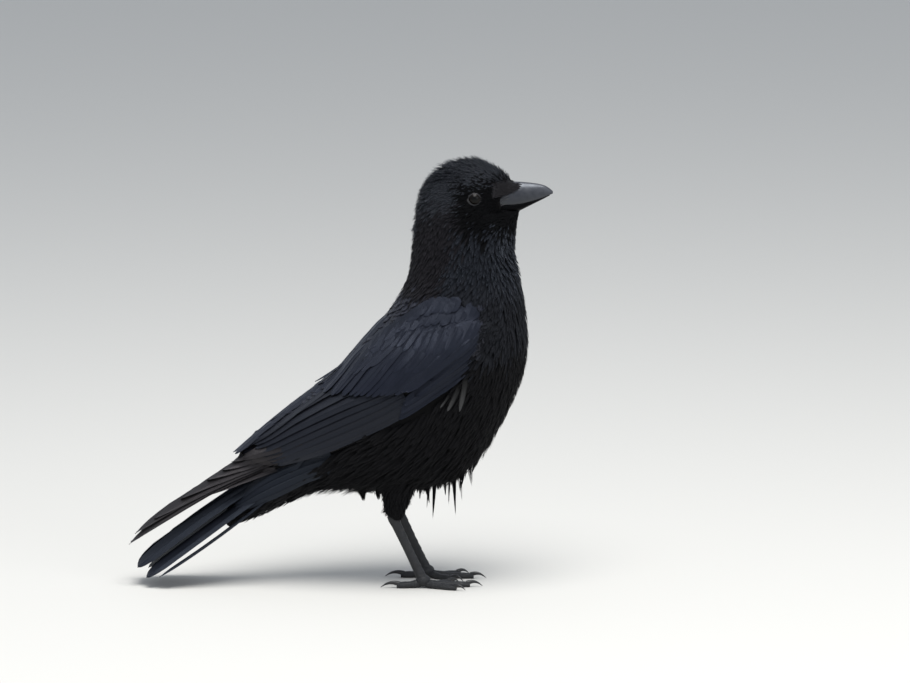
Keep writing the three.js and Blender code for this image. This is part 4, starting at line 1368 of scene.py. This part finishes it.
def add_eye(side):
    which = SIDE_NAME[side]
    sides = 40
    rings = []
    for lat in np.linspace(-0.5 * math.pi + 0.02, 0.5 * math.pi - 0.02, 29):
        turns = full_turn(sides)
        out = EYE_RADIUS * math.sin(lat)
        wide = EYE_RADIUS * math.cos(lat)
        swell = 0.35 * math.exp(-(wide / 3.4) ** 2) if out > 0 else 0.0
        ring = np.stack([EYE_X + wide * np.cos(turns), np.full(sides, side * (EYE_OUT + out + swell)),
                         EYE_Z + wide * np.sin(turns)], axis=1)
        rings.append(places(ring))
    mesh = rings_mesh("eyeball_" + which, np.array(rings))
    add_piece("eyeball_" + which, mesh, eye_material(side), ["eye_" + which])


def add_lids(side):
    """A ring of beaded lid skin round the eye, with a fold behind and in front."""
    which = SIDE_NAME[side]
    count = 84
    # Steps of the lid's section: out from the opening's edge, and height above the ball.
    section = [(-0.35, -0.30), (-0.10, 0.06), (0.12, 0.24), (0.34, 0.26), (0.55, 0.06), (0.80, 0.04),
               (1.05, -0.25), (1.6, -1.2), (1.0, -1.5), (0.1, -1.1)]
    rings = []
    for k in range(count):
        turn = 2.0 * math.pi * k / count
        corner = 0.45 * max(0.0, math.cos(turn)) ** 10 + 0.35 * max(0.0, -math.cos(turn)) ** 10
        lower = 0.12 * max(0.0, -math.sin(turn))
        bead = 0.06 * math.sin(turn * 21.0) + 0.04 * rng.normal()
        ring = []
        for step, (gone, high) in enumerate(section):
            reach_x = LID_WIDE + gone + corner
            reach_z = LID_TALL + gone + lower
            x = EYE_X + reach_x * math.cos(turn)
            z = EYE_Z + reach_z * math.sin(turn)
            away = math.hypot(x - EYE_X, z - EYE_Z)
            ball = EYE_OUT + math.sqrt(max(EYE_RADIUS ** 2 - away ** 2, 0.0))
            skin = abs(form.beside(side, x, z)[1]) / MM
            mix = min(1.0, max(0.0, gone / 1.4))
            beaded = bead if 1 <= step <= 5 else 0.0
            out = ball * (1.0 - mix) + skin * mix + high * (1.0 + lower) + beaded
            ring.append((x, side * out, z))
        rings.append(places(ring))
    rings.append(rings[0])
    mesh = outward_mesh(rings_mesh("lids_" + which, np.array(rings), closed_ends=False), 1e-7)
    add_piece("lids_" + which, mesh, LID_SKIN)


for flank in (RIGHT, LEFT):
    add_eye(flank)
    add_lids(flank)

# ------------------------------------------------------------------ legs and feet
FOOT_OUT, ANKLE_BACK, ANKLE_Z, FOOT_Z, HUB = 22.0, 25.4, 60.5, 6.2, 5.4
FOOT_X = {RIGHT: -1.6, LEFT: 1.6}
# Bare shank: share of the way from ankle to foot, half depth and half width.
SHANK = [(-0.02, 4.2, 3.4), (0.05, 4.7, 3.8), (0.14, 4.0, 3.0), (0.5, 3.6, 2.6), (0.85, 3.9, 3.1),
         (1.0, 4.6, 4.4)]
TOE_SWELL = [(0, 1.05), (0.25, 1.1), (0.45, 0.94), (0.66, 1.06), (0.86, 0.96), (1.0, 0.72)]
TOE_BASE = 0.72  # height of a toe's middle above the floor as a share of its radius
# Toes: name, turn outwards from straight ahead in degrees, length, radius and claw length.
TOES = [
    ("middle_toe", -5, 37, 2.9, 12),
    ("inner_toe", -33, 25, 2.7, 10.5),
    ("outer_toe", 24, 28, 2.6, 10),
    ("hallux", 176, 20, 3.1, 15),
]
SCUTES_ON_SHANK = 9
SCUTE_STEP = 0.36  # how far one plate's end stands over the next


def saw(run):
    """Overlapping plates along a run: each falls away towards its end."""
    part = run - np.floor(run)
    return np.where(part < 0.88, part / 0.88, (1.0 - part) / 0.12)


def leg_material():
    """Black scaly leather with a faint grey bloom and sunk seams between its scales."""
    mat, tree, shader, mask = mottled("leg_scales", (0.0056, 0.0064, 0.0086), 0.46, 260.0, 1.0)
    cells = node(tree, "ShaderNodeTexVoronoi", feature="DISTANCE_TO_EDGE")
    cells.inputs["Scale"].default_value = 900.0
    link(tree, object_place(tree), cells.inputs["Vector"])
    seam = math_node(tree, "MINIMUM", math_node(tree, "MULTIPLY", cells.outputs["Distance"], 6.0), 1.0)
    link(tree, math_node(tree, "MULTIPLY_ADD", mask, 0.3, 0.33), shader.inputs["Roughness"])
    add_bump(tree, shader, seam, 0.85, 0.18)
    return mat


def claw_material():
    mat, tree, shader, mask = mottled("claw_horn", (0.012, 0.012, 0.013), 0.33, 500.0, 0.7)
    add_bump(tree, shader, mask, 0.3, 0.08)
    return mat


LEG_SCALES = leg_material()
CLAW_HORN = claw_material()


def shank_mesh(side):
    """Bare shank with a row of broad plates in front and a smooth keel behind."""
    ankle = np.array([FOOT_X[side] - ANKLE_BACK, side * FOOT_OUT, ANKLE_Z])
    foot = np.array([FOOT_X[side], side * FOOT_OUT, FOOT_Z])
    sides, rings = 30, []
    run = foot - ankle
    ahead = run / np.linalg.norm(run)
    across = np.array([0.0, 1.0, 0.0])
    front = np.cross(across, ahead)
    front = front if front[0] > 0 else -front
    for share, depth, width in smooth_table(SHANK, 130):
        turns = full_turn(sides)
        facing = np.clip(np.cos(turns) * 1.3 + 0.25, 0.0, 1.0)
        plate = saw(share * SCUTES_ON_SHANK - 0.25 * np.cos(turns)) * facing
        keel = 0.35 * np.clip(-np.cos(turns) - 0.55, 0.0, 1.0)
        swell = SCUTE_STEP * (plate - 0.5 * facing) + keel
        off = (np.cos(turns) * (depth + swell))[:, None] * front
        off += (np.sin(turns) * (width + swell))[:, None] * across
        rings.append(places(ankle + run * share + off))
    return rings_mesh("shank", np.array(rings))


def hub_mesh(side):
    """The rounded palm where the toes meet."""
    sides, rings = 30, []
    for lat in np.linspace(-0.5 * math.pi + 0.05, 0.5 * math.pi - 0.05, 21):
        turns = full_turn(sides)
        wide = HUB * math.cos(lat)
        z = max(FOOT_Z + 0.95 * HUB * math.sin(lat), 0.0)
        ring = np.stack([FOOT_X[side] + 1.15 * wide * np.cos(turns), side * FOOT_OUT + wide * np.sin(turns),
                         np.full(sides, z)], axis=1)
        rings.append(places(ring))
    return rings_mesh("hub", np.array(rings))


def toe_path(side, turn, distance, height):
    ahead = np.array([math.cos(math.radians(turn)), side * math.sin(math.radians(turn))])
    xy = np.array([FOOT_X[side], side * FOOT_OUT]) + ahead * distance
    return np.array([xy[0], xy[1], height])


def toe_mesh(side, turn, length, radius):
    """A toe with plates over its top, a pad under each joint and a flat sole on the floor."""
    base = TOE_BASE * radius
    shares = np.linspace(0.0, 1.0, 84)
    path = [toe_path(side, turn, 2 + length * s, base + 2.2 * (1 - s) ** 3) for s in shares]
    table = smooth_table(TOE_SWELL, 84)
    plates = length / 2.7

    def shape(share, turns):
        top = np.clip(np.cos(turns) * 1.4, 0.0, 1.0)
        pads = 0.06 * np.sin(share * 26.0) * np.clip(-np.cos(turns), 0.0, 1.0)
        return 1.0 + (0.16 / radius) * (saw(share * plates) - 0.6) * top + pads

    rings = tube_rings(path, table[:, 1] * radius, 22, shape)
    rings[:, :, 2] = np.maximum(rings[:, :, 2], 0.0)
    return rings_mesh("toe", places(rings))


def claw_mesh(side, turn, length, radius, claw):
    """A curved claw that tapers to a point, deeper than it is wide."""
    base = TOE_BASE * radius
    shares = np.linspace(0.0, 1.0, 22)
    path = []
    for s in shares:
        z = base + 1.2 + 3.0 * math.sin(math.pi * s * 0.62) - (base + 3.4) * s ** 2
        path.append(toe_path(side, turn, length - 0.6 + (claw + 1.2) * s, max(z, 1.0)))
    radii = radius * 0.70 * (1.0 - 0.93 * shares ** 1.2)

    def shape(_, turns):
        return 1.0 - 0.16 * np.sin(turns) ** 2

    rings = tube_rings(path, radii, 14, shape)
    rings[:, :, 2] = np.maximum(rings[:, :, 2], 0.0)
    return rings_mesh("claw", places(rings))


def add_foot(side):
    which = SIDE_NAME[side]
    parts = [shank_mesh(side), hub_mesh(side)]
    claws = []
    for _, turn, length, radius, claw in TOES:
        parts.append(toe_mesh(side, turn, length, radius))
        claws.append(claw_mesh(side, turn, length, radius, claw))
    toes = [f"{name}_{which}" for name, *_ in TOES]
    add_piece("foot_scales_" + which, merged_mesh("foot_scales_" + which, parts), LEG_SCALES,
              [f"tarsus_{which}", *toes])
    claw_nodes = [f"{name}_claw_{which}" for name, *_ in TOES]
    add_piece("claw_horns_" + which, merged_mesh("claw_horns_" + which, claws), CLAW_HORN,
              claw_nodes)


for flank in (RIGHT, LEFT):
    add_foot(flank)

# ------------------------------------------------------------------ skin


COAT_DEPTH = (0.105, 0.35)  # depth of the skin under the form: a share of a feather's length, and more
UNDER_WING_DEPTH = 3.2
FACE_INSET = 1.3


def add_skin():
    """One skin under all the plumage, inside the outer form by the coat's depth."""
    made = remeshed(joined_copy("skin", FLESH + WINGS), FORM_GRAIN, SMOOTHING)
    spots, outward = per_vertex(made.data, "co"), per_vertex(made.data, "normal")
    sizes = lie.read_sizes(spots)
    depth = (COAT_DEPTH[0] * sizes[:, 0] + COAT_DEPTH[1]) * MM
    under_wing = in_wing_area(spots, outward)
    depth = np.where(under_wing, np.maximum(depth, UNDER_WING_DEPTH * MM), depth)
    made.data.vertices.foreach_set("co", (spots - outward * depth[:, None]).ravel())
    slim_face(made, FACE_INSET)
    made.data.polygons.foreach_set("use_smooth", np.ones(len(made.data.polygons), bool))
    made.data.update()
    made.data.materials.append(SKIN)
    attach(made, "root")
    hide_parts(*FLESH, "wing_left", "wing_right")


# The part of the wing's side that is covered by large feathers, as x and z.
WING_AREA = [
    (39, 222), (42, 200), (38, 193), (35, 182), (17, 166), (7, 155), (-17, 141), (-32, 143),
    (-79, 112), (-96, 94), (-127, 78), (-160, 62), (-172, 80), (-168, 120), (-153, 119), (-120, 148),
    (-102, 163), (-83, 174), (-62, 189), (-44, 199), (-20, 213), (10, 216), (26, 224),
]


def in_outline(flat, outline):
    """Which of the flat points lie inside a closed outline."""
    x, z = flat[:, 0], flat[:, 1]
    within = np.zeros(len(flat), bool)
    for i, (x1, z1) in enumerate(outline):
        x2, z2 = outline[(i + 1) % len(outline)]
        if z1 == z2:
            continue
        crossed = ((z1 > z) != (z2 > z)) & (x < (x2 - x1) * (z - z1) / (z2 - z1) + x1)
        within ^= crossed
    return within


def in_wing_area(spots, outward):
    at = in_millimetres(spots)
    beside = np.abs(at[:, 1]) > 8.0
    least = np.interp(at[:, 0], (-116.0, -112.0, -42.0, -38.0), (0.1, 0.35, 0.35, -0.25))
    facing = outward[:, 1] * np.sign(at[:, 1]) > np.where(outward[:, 2] > 0.0, least, -0.25)
    return beside & facing & in_outline(at[:, [0, 2]], WING_AREA)


add_skin()

# ------------------------------------------------------------------ coat
# The front of the face, where feathers end against the bill: x and z of the edge at each side.
BILL_EDGE = [(112, 345), (71.5, 345), (71.5, 338.0), (62.5, 336), (62, 327.0), (60.5, 323.0), (60.0, 319.4),
             (59.5, 316.8), (63, 315.7), (72, 314.4), (79, 313.7), (112, 320)]
EYE_CLEAR = 5.55  # no feather reaches nearer to the middle of an eye than this
EYE_NEAR = 18.0  # feathers rooted nearer than this may have to be shortened
BESIDE_HEAD = 12.0  # the eyes lie further out than this


def from_eye(x, z):
    return np.hypot(x - EYE_X, z - EYE_Z)


def coat_region(spots, outward):
    """Where small feathers grow at all: not on the bill, the eyes or the folded flight feathers."""
    at = in_millimetres(spots)
    on_bill = in_outline(at[:, [0, 2]], BILL_EDGE)
    on_eye = (from_eye(at[:, 0], at[:, 2]) < EYE_CLEAR) & (np.abs(at[:, 1]) > BESIDE_HEAD)
    return ~on_bill & ~on_eye & ~in_wing_area(spots, outward)


BORDER_BLUR = 4.5


def tract_names(spots):
    """The name of the tract that each place belongs to; later lines win over earlier ones.

    The borders are straight lines in x and z, blurred by a few millimetres so that none shows."""
    at = in_millimetres(spots)
    loose = at + rng.normal(0.0, BORDER_BLUR, at.shape)
    x, y, z = loose[:, 0], np.abs(loose[:, 1]), loose[:, 2]
    names = np.full(len(spots), "breast", object)
    names[z < 172 + 0.5 * x] = "belly"
    names[(z < 135) & (x < -60)] = "vent"
    names[(x < -92) & (z < 128)] = "tail_root"
    neck = z > 250
    names[neck] = "foreneck"
    names[(z > 262) & (z < 306)] = "throat"
    names[neck & (x < 0.3 * (z - 300.0) + 30.0)] = "nape"
    names[z > 306] = "crown"
    names[(z > 300) & (x > 30) & (z < 339)] = "face"
    names[(z > 296) & (x <= 30) & (z < 318)] = "nape"
    x, y, z = at[:, 0] + 0.3 * (loose[:, 0] - at[:, 0]), np.abs(at[:, 1]), at[:, 2]
    top = z + 1.1 * (loose[:, 2] - z)
    names[(z > 0.55 * x + 196.0) & (x < 50) & (top < 250 - 0.15 * x)] = "mantle"
    names[(x > 30) & (x < 49) & (z > 203) & (z < 231) & (y > 30)] = "marginal"
    names[(z < 92) & (y > 10) & (x < 2) & (x > -46)] = "thigh"
    return names


# Each tract's kind of feather, how pointed its feathers are, their relief, how densely they grow and
# their width as a share of the width in the table of the coat.
TRACTS = {
    "crown": ("head", 0.85, 1.3, 2.0, 0.72),
    "face": ("face", 0.9, 0.5, 1.6, 0.75),
    "nape": ("nape", 0.8, 0.8, 2.0, 0.60),
    "throat": ("throat", 0.75, 1.9, 1.0, 0.76),
    "foreneck": ("foreneck", 0.8, 1.0, 1.8, 0.58),
    "mantle": ("mantle", 0.05, 0.15, 1.5, 1.05),
    "marginal": ("marginal", 0.1, 0.35, 0.9, 1.2),
    "breast": ("breast", 0.75, 0.5, 2.0, 0.48),
    "belly": ("belly", 0.85, 0.5, 2.0, 0.48),
    "vent": ("belly", 0.85, 0.5, 1.6, 0.55),
    "thigh": ("belly", 0.9, 0.5, 1.6, 0.65),
    "tail_root": ("belly", 0.4, 0.5, 1.5, 0.8),
}
PIECE_LIMIT = 8600  # feathers in one piece


def clear_of_eye(roots, sizes):
    """Shortens feathers that would reach over the lids; returns those still worth keeping."""
    tips = in_millimetres(roots + lie.read(roots)[0] * (sizes[:, 0] * MM)[:, None])
    at = in_millimetres(roots)
    near = (from_eye(at[:, 0], at[:, 2]) < EYE_NEAR) & (np.abs(at[:, 1]) > BESIDE_HEAD)
    kept = np.ones(len(roots), bool)
    for i in np.flatnonzero(near):
        shares = np.linspace(0.0, 1.0, 11)
        x = at[i, 0] + (tips[i, 0] - at[i, 0]) * shares
        z = at[i, 2] + (tips[i, 2] - at[i, 2]) * shares
        over = from_eye(x, z) < EYE_CLEAR
        if over.any():
            first = shares[np.argmax(over)]
            kept[i] = first > 0.25
            sizes[i, 0] *= max(first, 0.3)
            sizes[i, 2] = 0.1
    return kept


def add_coat():
    density = {name: row[3] for name, row in TRACTS.items()}
    width = {name: row[4] for name, row in TRACTS.items()}
    roots, sizes, tracts = scatter(coat_region, tract_names, density, width)
    kept = clear_of_eye(roots, sizes)
    roots, sizes, tracts = roots[kept], sizes[kept], tracts[kept]
    for name, (plume, pointed, relief, _, _) in TRACTS.items():
        chosen = np.flatnonzero(tracts == name)
        chosen = chosen[np.argsort(roots[chosen, 0])]
        parts = np.array_split(chosen, 1 + len(chosen) // PIECE_LIMIT)
        for i, part in enumerate(parts):
            label = "coat_" + name if len(parts) == 1 else f"coat_{name}_{i + 1}"
            coat_piece(label, roots[part], sizes[part], pointed, PLUME[plume], relief)


# Where pointed wisps stand out from the back of the head: x from and to, z from and to, how many,
# and their length and stand.
WISPS = [
    ((2, 44), (338, 352), 50, 8.0, 3.8),
    ((-16, 8), (322, 350), 70, 9.5, 5.2),
    ((-14, -2), (296, 324), 50, 9.0, 4.0),
]
WISP_OUT = 11.0  # how far out from the middle of the head they stand
WISP_FEATHERS, WISP_WIDTH = 6, 1.7


def add_wisps():
    """Clumps of pointed feathers that stand a little out of the crown and the nape."""
    roots, sizes = [], []
    for (x_from, x_to), (z_from, z_to), count, length, stand in WISPS:
        for _ in range(count):
            x, y = rng.uniform(x_from, x_to), rng.uniform(-WISP_OUT, WISP_OUT)
            around = np.array(place(x, y, rng.uniform(z_from, z_to)))
            tall = stand * rng.uniform(0.5, 1.1)
            for _ in range(WISP_FEATHERS):
                roots.append(form.nearest((around + rng.normal(0.0, 0.8 * MM, 3))[None])[0][0])
                long = length * rng.uniform(0.8, 1.1)
                sizes.append((long, WISP_WIDTH, tall * rng.uniform(0.8, 1.1), 0.1))
    coat_piece("coat_wisps", roots, sizes, 1.0, PLUME["head"], 1.0)


add_wisps()

# ------------------------------------------------------------------ bristles over the nostrils
# The part of the bill's side that bristles cover, as x and z.
NOSTRIL_PATCH = [(57, 338.5), (72, 338.3), (82, 336.6), (78, 332.6), (70, 329.4), (62, 326.6), (57, 325.4)]
BRISTLES = 900


def add_bristles():
    """Stiff narrow feathers that lie forwards from the forehead along each side of the bill."""
    roots, ways, sizes = [], [], []
    for side in (RIGHT, LEFT):
        tips = rng.uniform((57.0, 325.4), (82.0, 338.6), (BRISTLES * 2, 2))
        tips = tips[in_outline(tips, NOSTRIL_PATCH)]
        for x, z in tips[rng.random(len(tips)) < np.clip((tips[:, 0] - 56.0) / 6.0, 0.15, 1.0)]:
            drop = rng.normal(-0.10, 0.05) - 0.03 * (337.0 - z) / 6.0
            length = min(9.0, 3.0 + 0.5 * (x - 57.0)) * rng.uniform(0.8, 1.1)
            roots.append(form.beside(side, x - length, z - drop * length))
            ways.append((1.0, 0.0, drop))
            sizes.append((length, 0.95, 0.45, 0.8))
    coat_piece("coat_bristles", roots, sizes, 0.9, PLUME["bristle"], 0.9, unit(np.array(ways)))


add_bristles()

# ------------------------------------------------------------------ hanging tufts and loose strands


def strand_piece(name, roots, tips, widths, bend, material, replaced=()):
    """A joined mesh of narrow free strands from their roots to their tips."""
    roots, tips = np.asarray(roots), np.asarray(tips)
    ahead = unit(tips - roots)
    facing = unit(np.cross(ahead, rng.normal(0.0, 1.0, ahead.shape)))
    across = np.cross(facing, ahead)
    half = 0.5 * np.asarray(widths)[:, None] * MM
    verts = np.empty((len(roots), VANE_VERTS, 3))
    for k, station in enumerate(STATIONS):
        curve = bend * MM * math.sin(math.pi * station)
        centre = roots + (tips - roots) * station + facing * curve
        if k == 4:
            verts[:, 12] = centre
            break
        outline = POINTED_OUTLINE[k]
        verts[:, 3 * k] = centre - across * half * outline - facing * half * 0.3 * outline
        verts[:, 3 * k + 1] = centre + facing * half * 0.5 * outline
        verts[:, 3 * k + 2] = centre + across * half * outline - facing * half * 0.3 * outline
    small_piece(name, roots, verts, material, replaced)


# Wet tufts under the belly: root and tip as x and z, distance out to the left, how wide the root
# is, how blunt the end is, and how many strands.
BELLY_TUFTS = [
    ((45.0, 107.0), (38.5, 92.0), -4, 2.2, 0.8, 24),
    ((32.5, 96.0), (29.0, 79.5), -13, 2.4, 0.9, 30),
    ((24.0, 93.0), (25.5, 57.5), -9, 1.7, 0.5, 26),
    ((16.5, 90.0), (17.0, 71.5), 7, 2.6, 1.0, 30),
    ((8.5, 90.0), (6.4, 54.0), -6, 1.9, 0.6, 28),
    ((0.5, 88.0), (4.0, 68.0), -12, 2.0, 0.8, 26),
]
VENT_TUFTS = [
    ((28.0, 95.0), (30.5, 70.0), -6, 1.0, 0.6, 10),
    ((20.0, 92.0), (19.5, 66.0), -10, 1.0, 0.5, 9),
    ((3.5, 88.0), (1.5, 64.0), -7, 1.2, 0.6, 12),
    ((-3.0, 87.0), (-4.5, 71.0), -9, 1.4, 0.8, 14),
    ((36.0, 99.0), (39.0, 83.0), -10, 1.5, 1.0, 12),
    ((12.0, 92.0), (11.0, 78.0), 0, 5.0, 2.4, 80),
    ((-6.0, 89.0), (-8.0, 77.0), 3, 6.0, 3.0, 80),
    ((-10.5, 83.0), (-15.0, 64.0), -20, 1.0, 1.2, 6),
    ((-40.0, 86.0), (-38.5, 71.5), -10, 3.6, 2.4, 110),
    ((-46.0, 86.0), (-45.0, 75.0), 0, 4.4, 3.0, 110),
    ((-49.0, 87.0), (-47.5, 75.5), 0, 8.0, 5.0, 240),
    ((-54.0, 86.0), (-51.0, 69.5), -4, 4.6, 2.6, 170),
    ((-60.0, 88.0), (-56.5, 75.0), 2, 4.6, 3.0, 110),
    ((-67.0, 91.0), (-66.0, 81.5), 0, 4.6, 3.0, 80),
    ((-76.0, 92.0), (-78.0, 85.0), 0, 4.6, 3.0, 60),
]


def add_tufts(name, tufts, replaced=()):
    """Each tuft is a bundle of wet strands that run together towards a point."""
    roots, tips, widths = [], [], []
    for (root_x, root_z), (tip_x, tip_z), out, wide, blunt, count in tufts:
        length = root_z - tip_z
        for _ in range(count):
            turn, away = rng.uniform(0.0, 2.0 * math.pi), math.sqrt(rng.random())
            reach = rng.uniform(0.3, 1.0) if rng.random() < 0.75 else rng.uniform(0.9, 1.0)
            spread = wide * away
            ahead, beside = 1.3 * math.cos(turn), math.sin(turn)
            roots.append((root_x + spread * ahead, out + spread * beside, root_z + 6.0))
            loose = blunt * (0.25 + 2.6 * (1.0 - reach)) * away
            tips.append((root_x + (tip_x - root_x) * reach + loose * ahead, out + loose * beside,
                         root_z - length * reach))
            widths.append(rng.uniform(0.6, 1.2))
    strand_piece(name, places(roots), places(tips), widths, 0.5, PLUME["belly"], replaced)


add_tufts("belly_tuft_strands", BELLY_TUFTS, [f"belly_tuft_{i + 1}" for i in range(len(BELLY_TUFTS))])
add_tufts("vent_tuft_strands", VENT_TUFTS)

# Ragged lower outline: where loose strands hang, as x from and to, z to look up from, distance
# out, how many, how far they reach below the coat, and how much they lean back.
RAGGED = [
    ((-6, 52), 70, 18, 110, 6.5, 0.35),
    ((-62, -20), 60, 12, 90, 6.5, 0.9),
    ((-44, -30), 66, 24, 60, 7.0, 0.25),
    ((-150, -62), 30, 10, 60, 3.5, 1.6),
]


def add_loose_strands():
    roots, tips, widths = [], [], []
    for (x_from, x_to), z_below, out, count, reach, lean in RAGGED:
        for _ in range(count):
            x, y = rng.uniform(x_from, x_to), rng.uniform(-out, out)
            root, outward = form.nearest(np.array([place(x, y, z_below)]))
            down = unit(outward + np.array([[-lean, 0.0, -1.2]]) + rng.normal(0.0, 0.12, (1, 3)))
            hang = reach * rng.uniform(0.4, 1.0)
            roots.append(root[0] - outward[0] * 2.5 * MM + np.array([4.0 * lean, 0.0, 1.0]) * MM)
            tips.append(root[0] + down[0] * hang * MM)
            widths.append(rng.uniform(0.7, 1.5))
    strand_piece("loose_strands", roots, tips, widths, 0.6, PLUME["belly"])


add_loose_strands()
add_coat()
bpy.data.objects.remove(form_object)
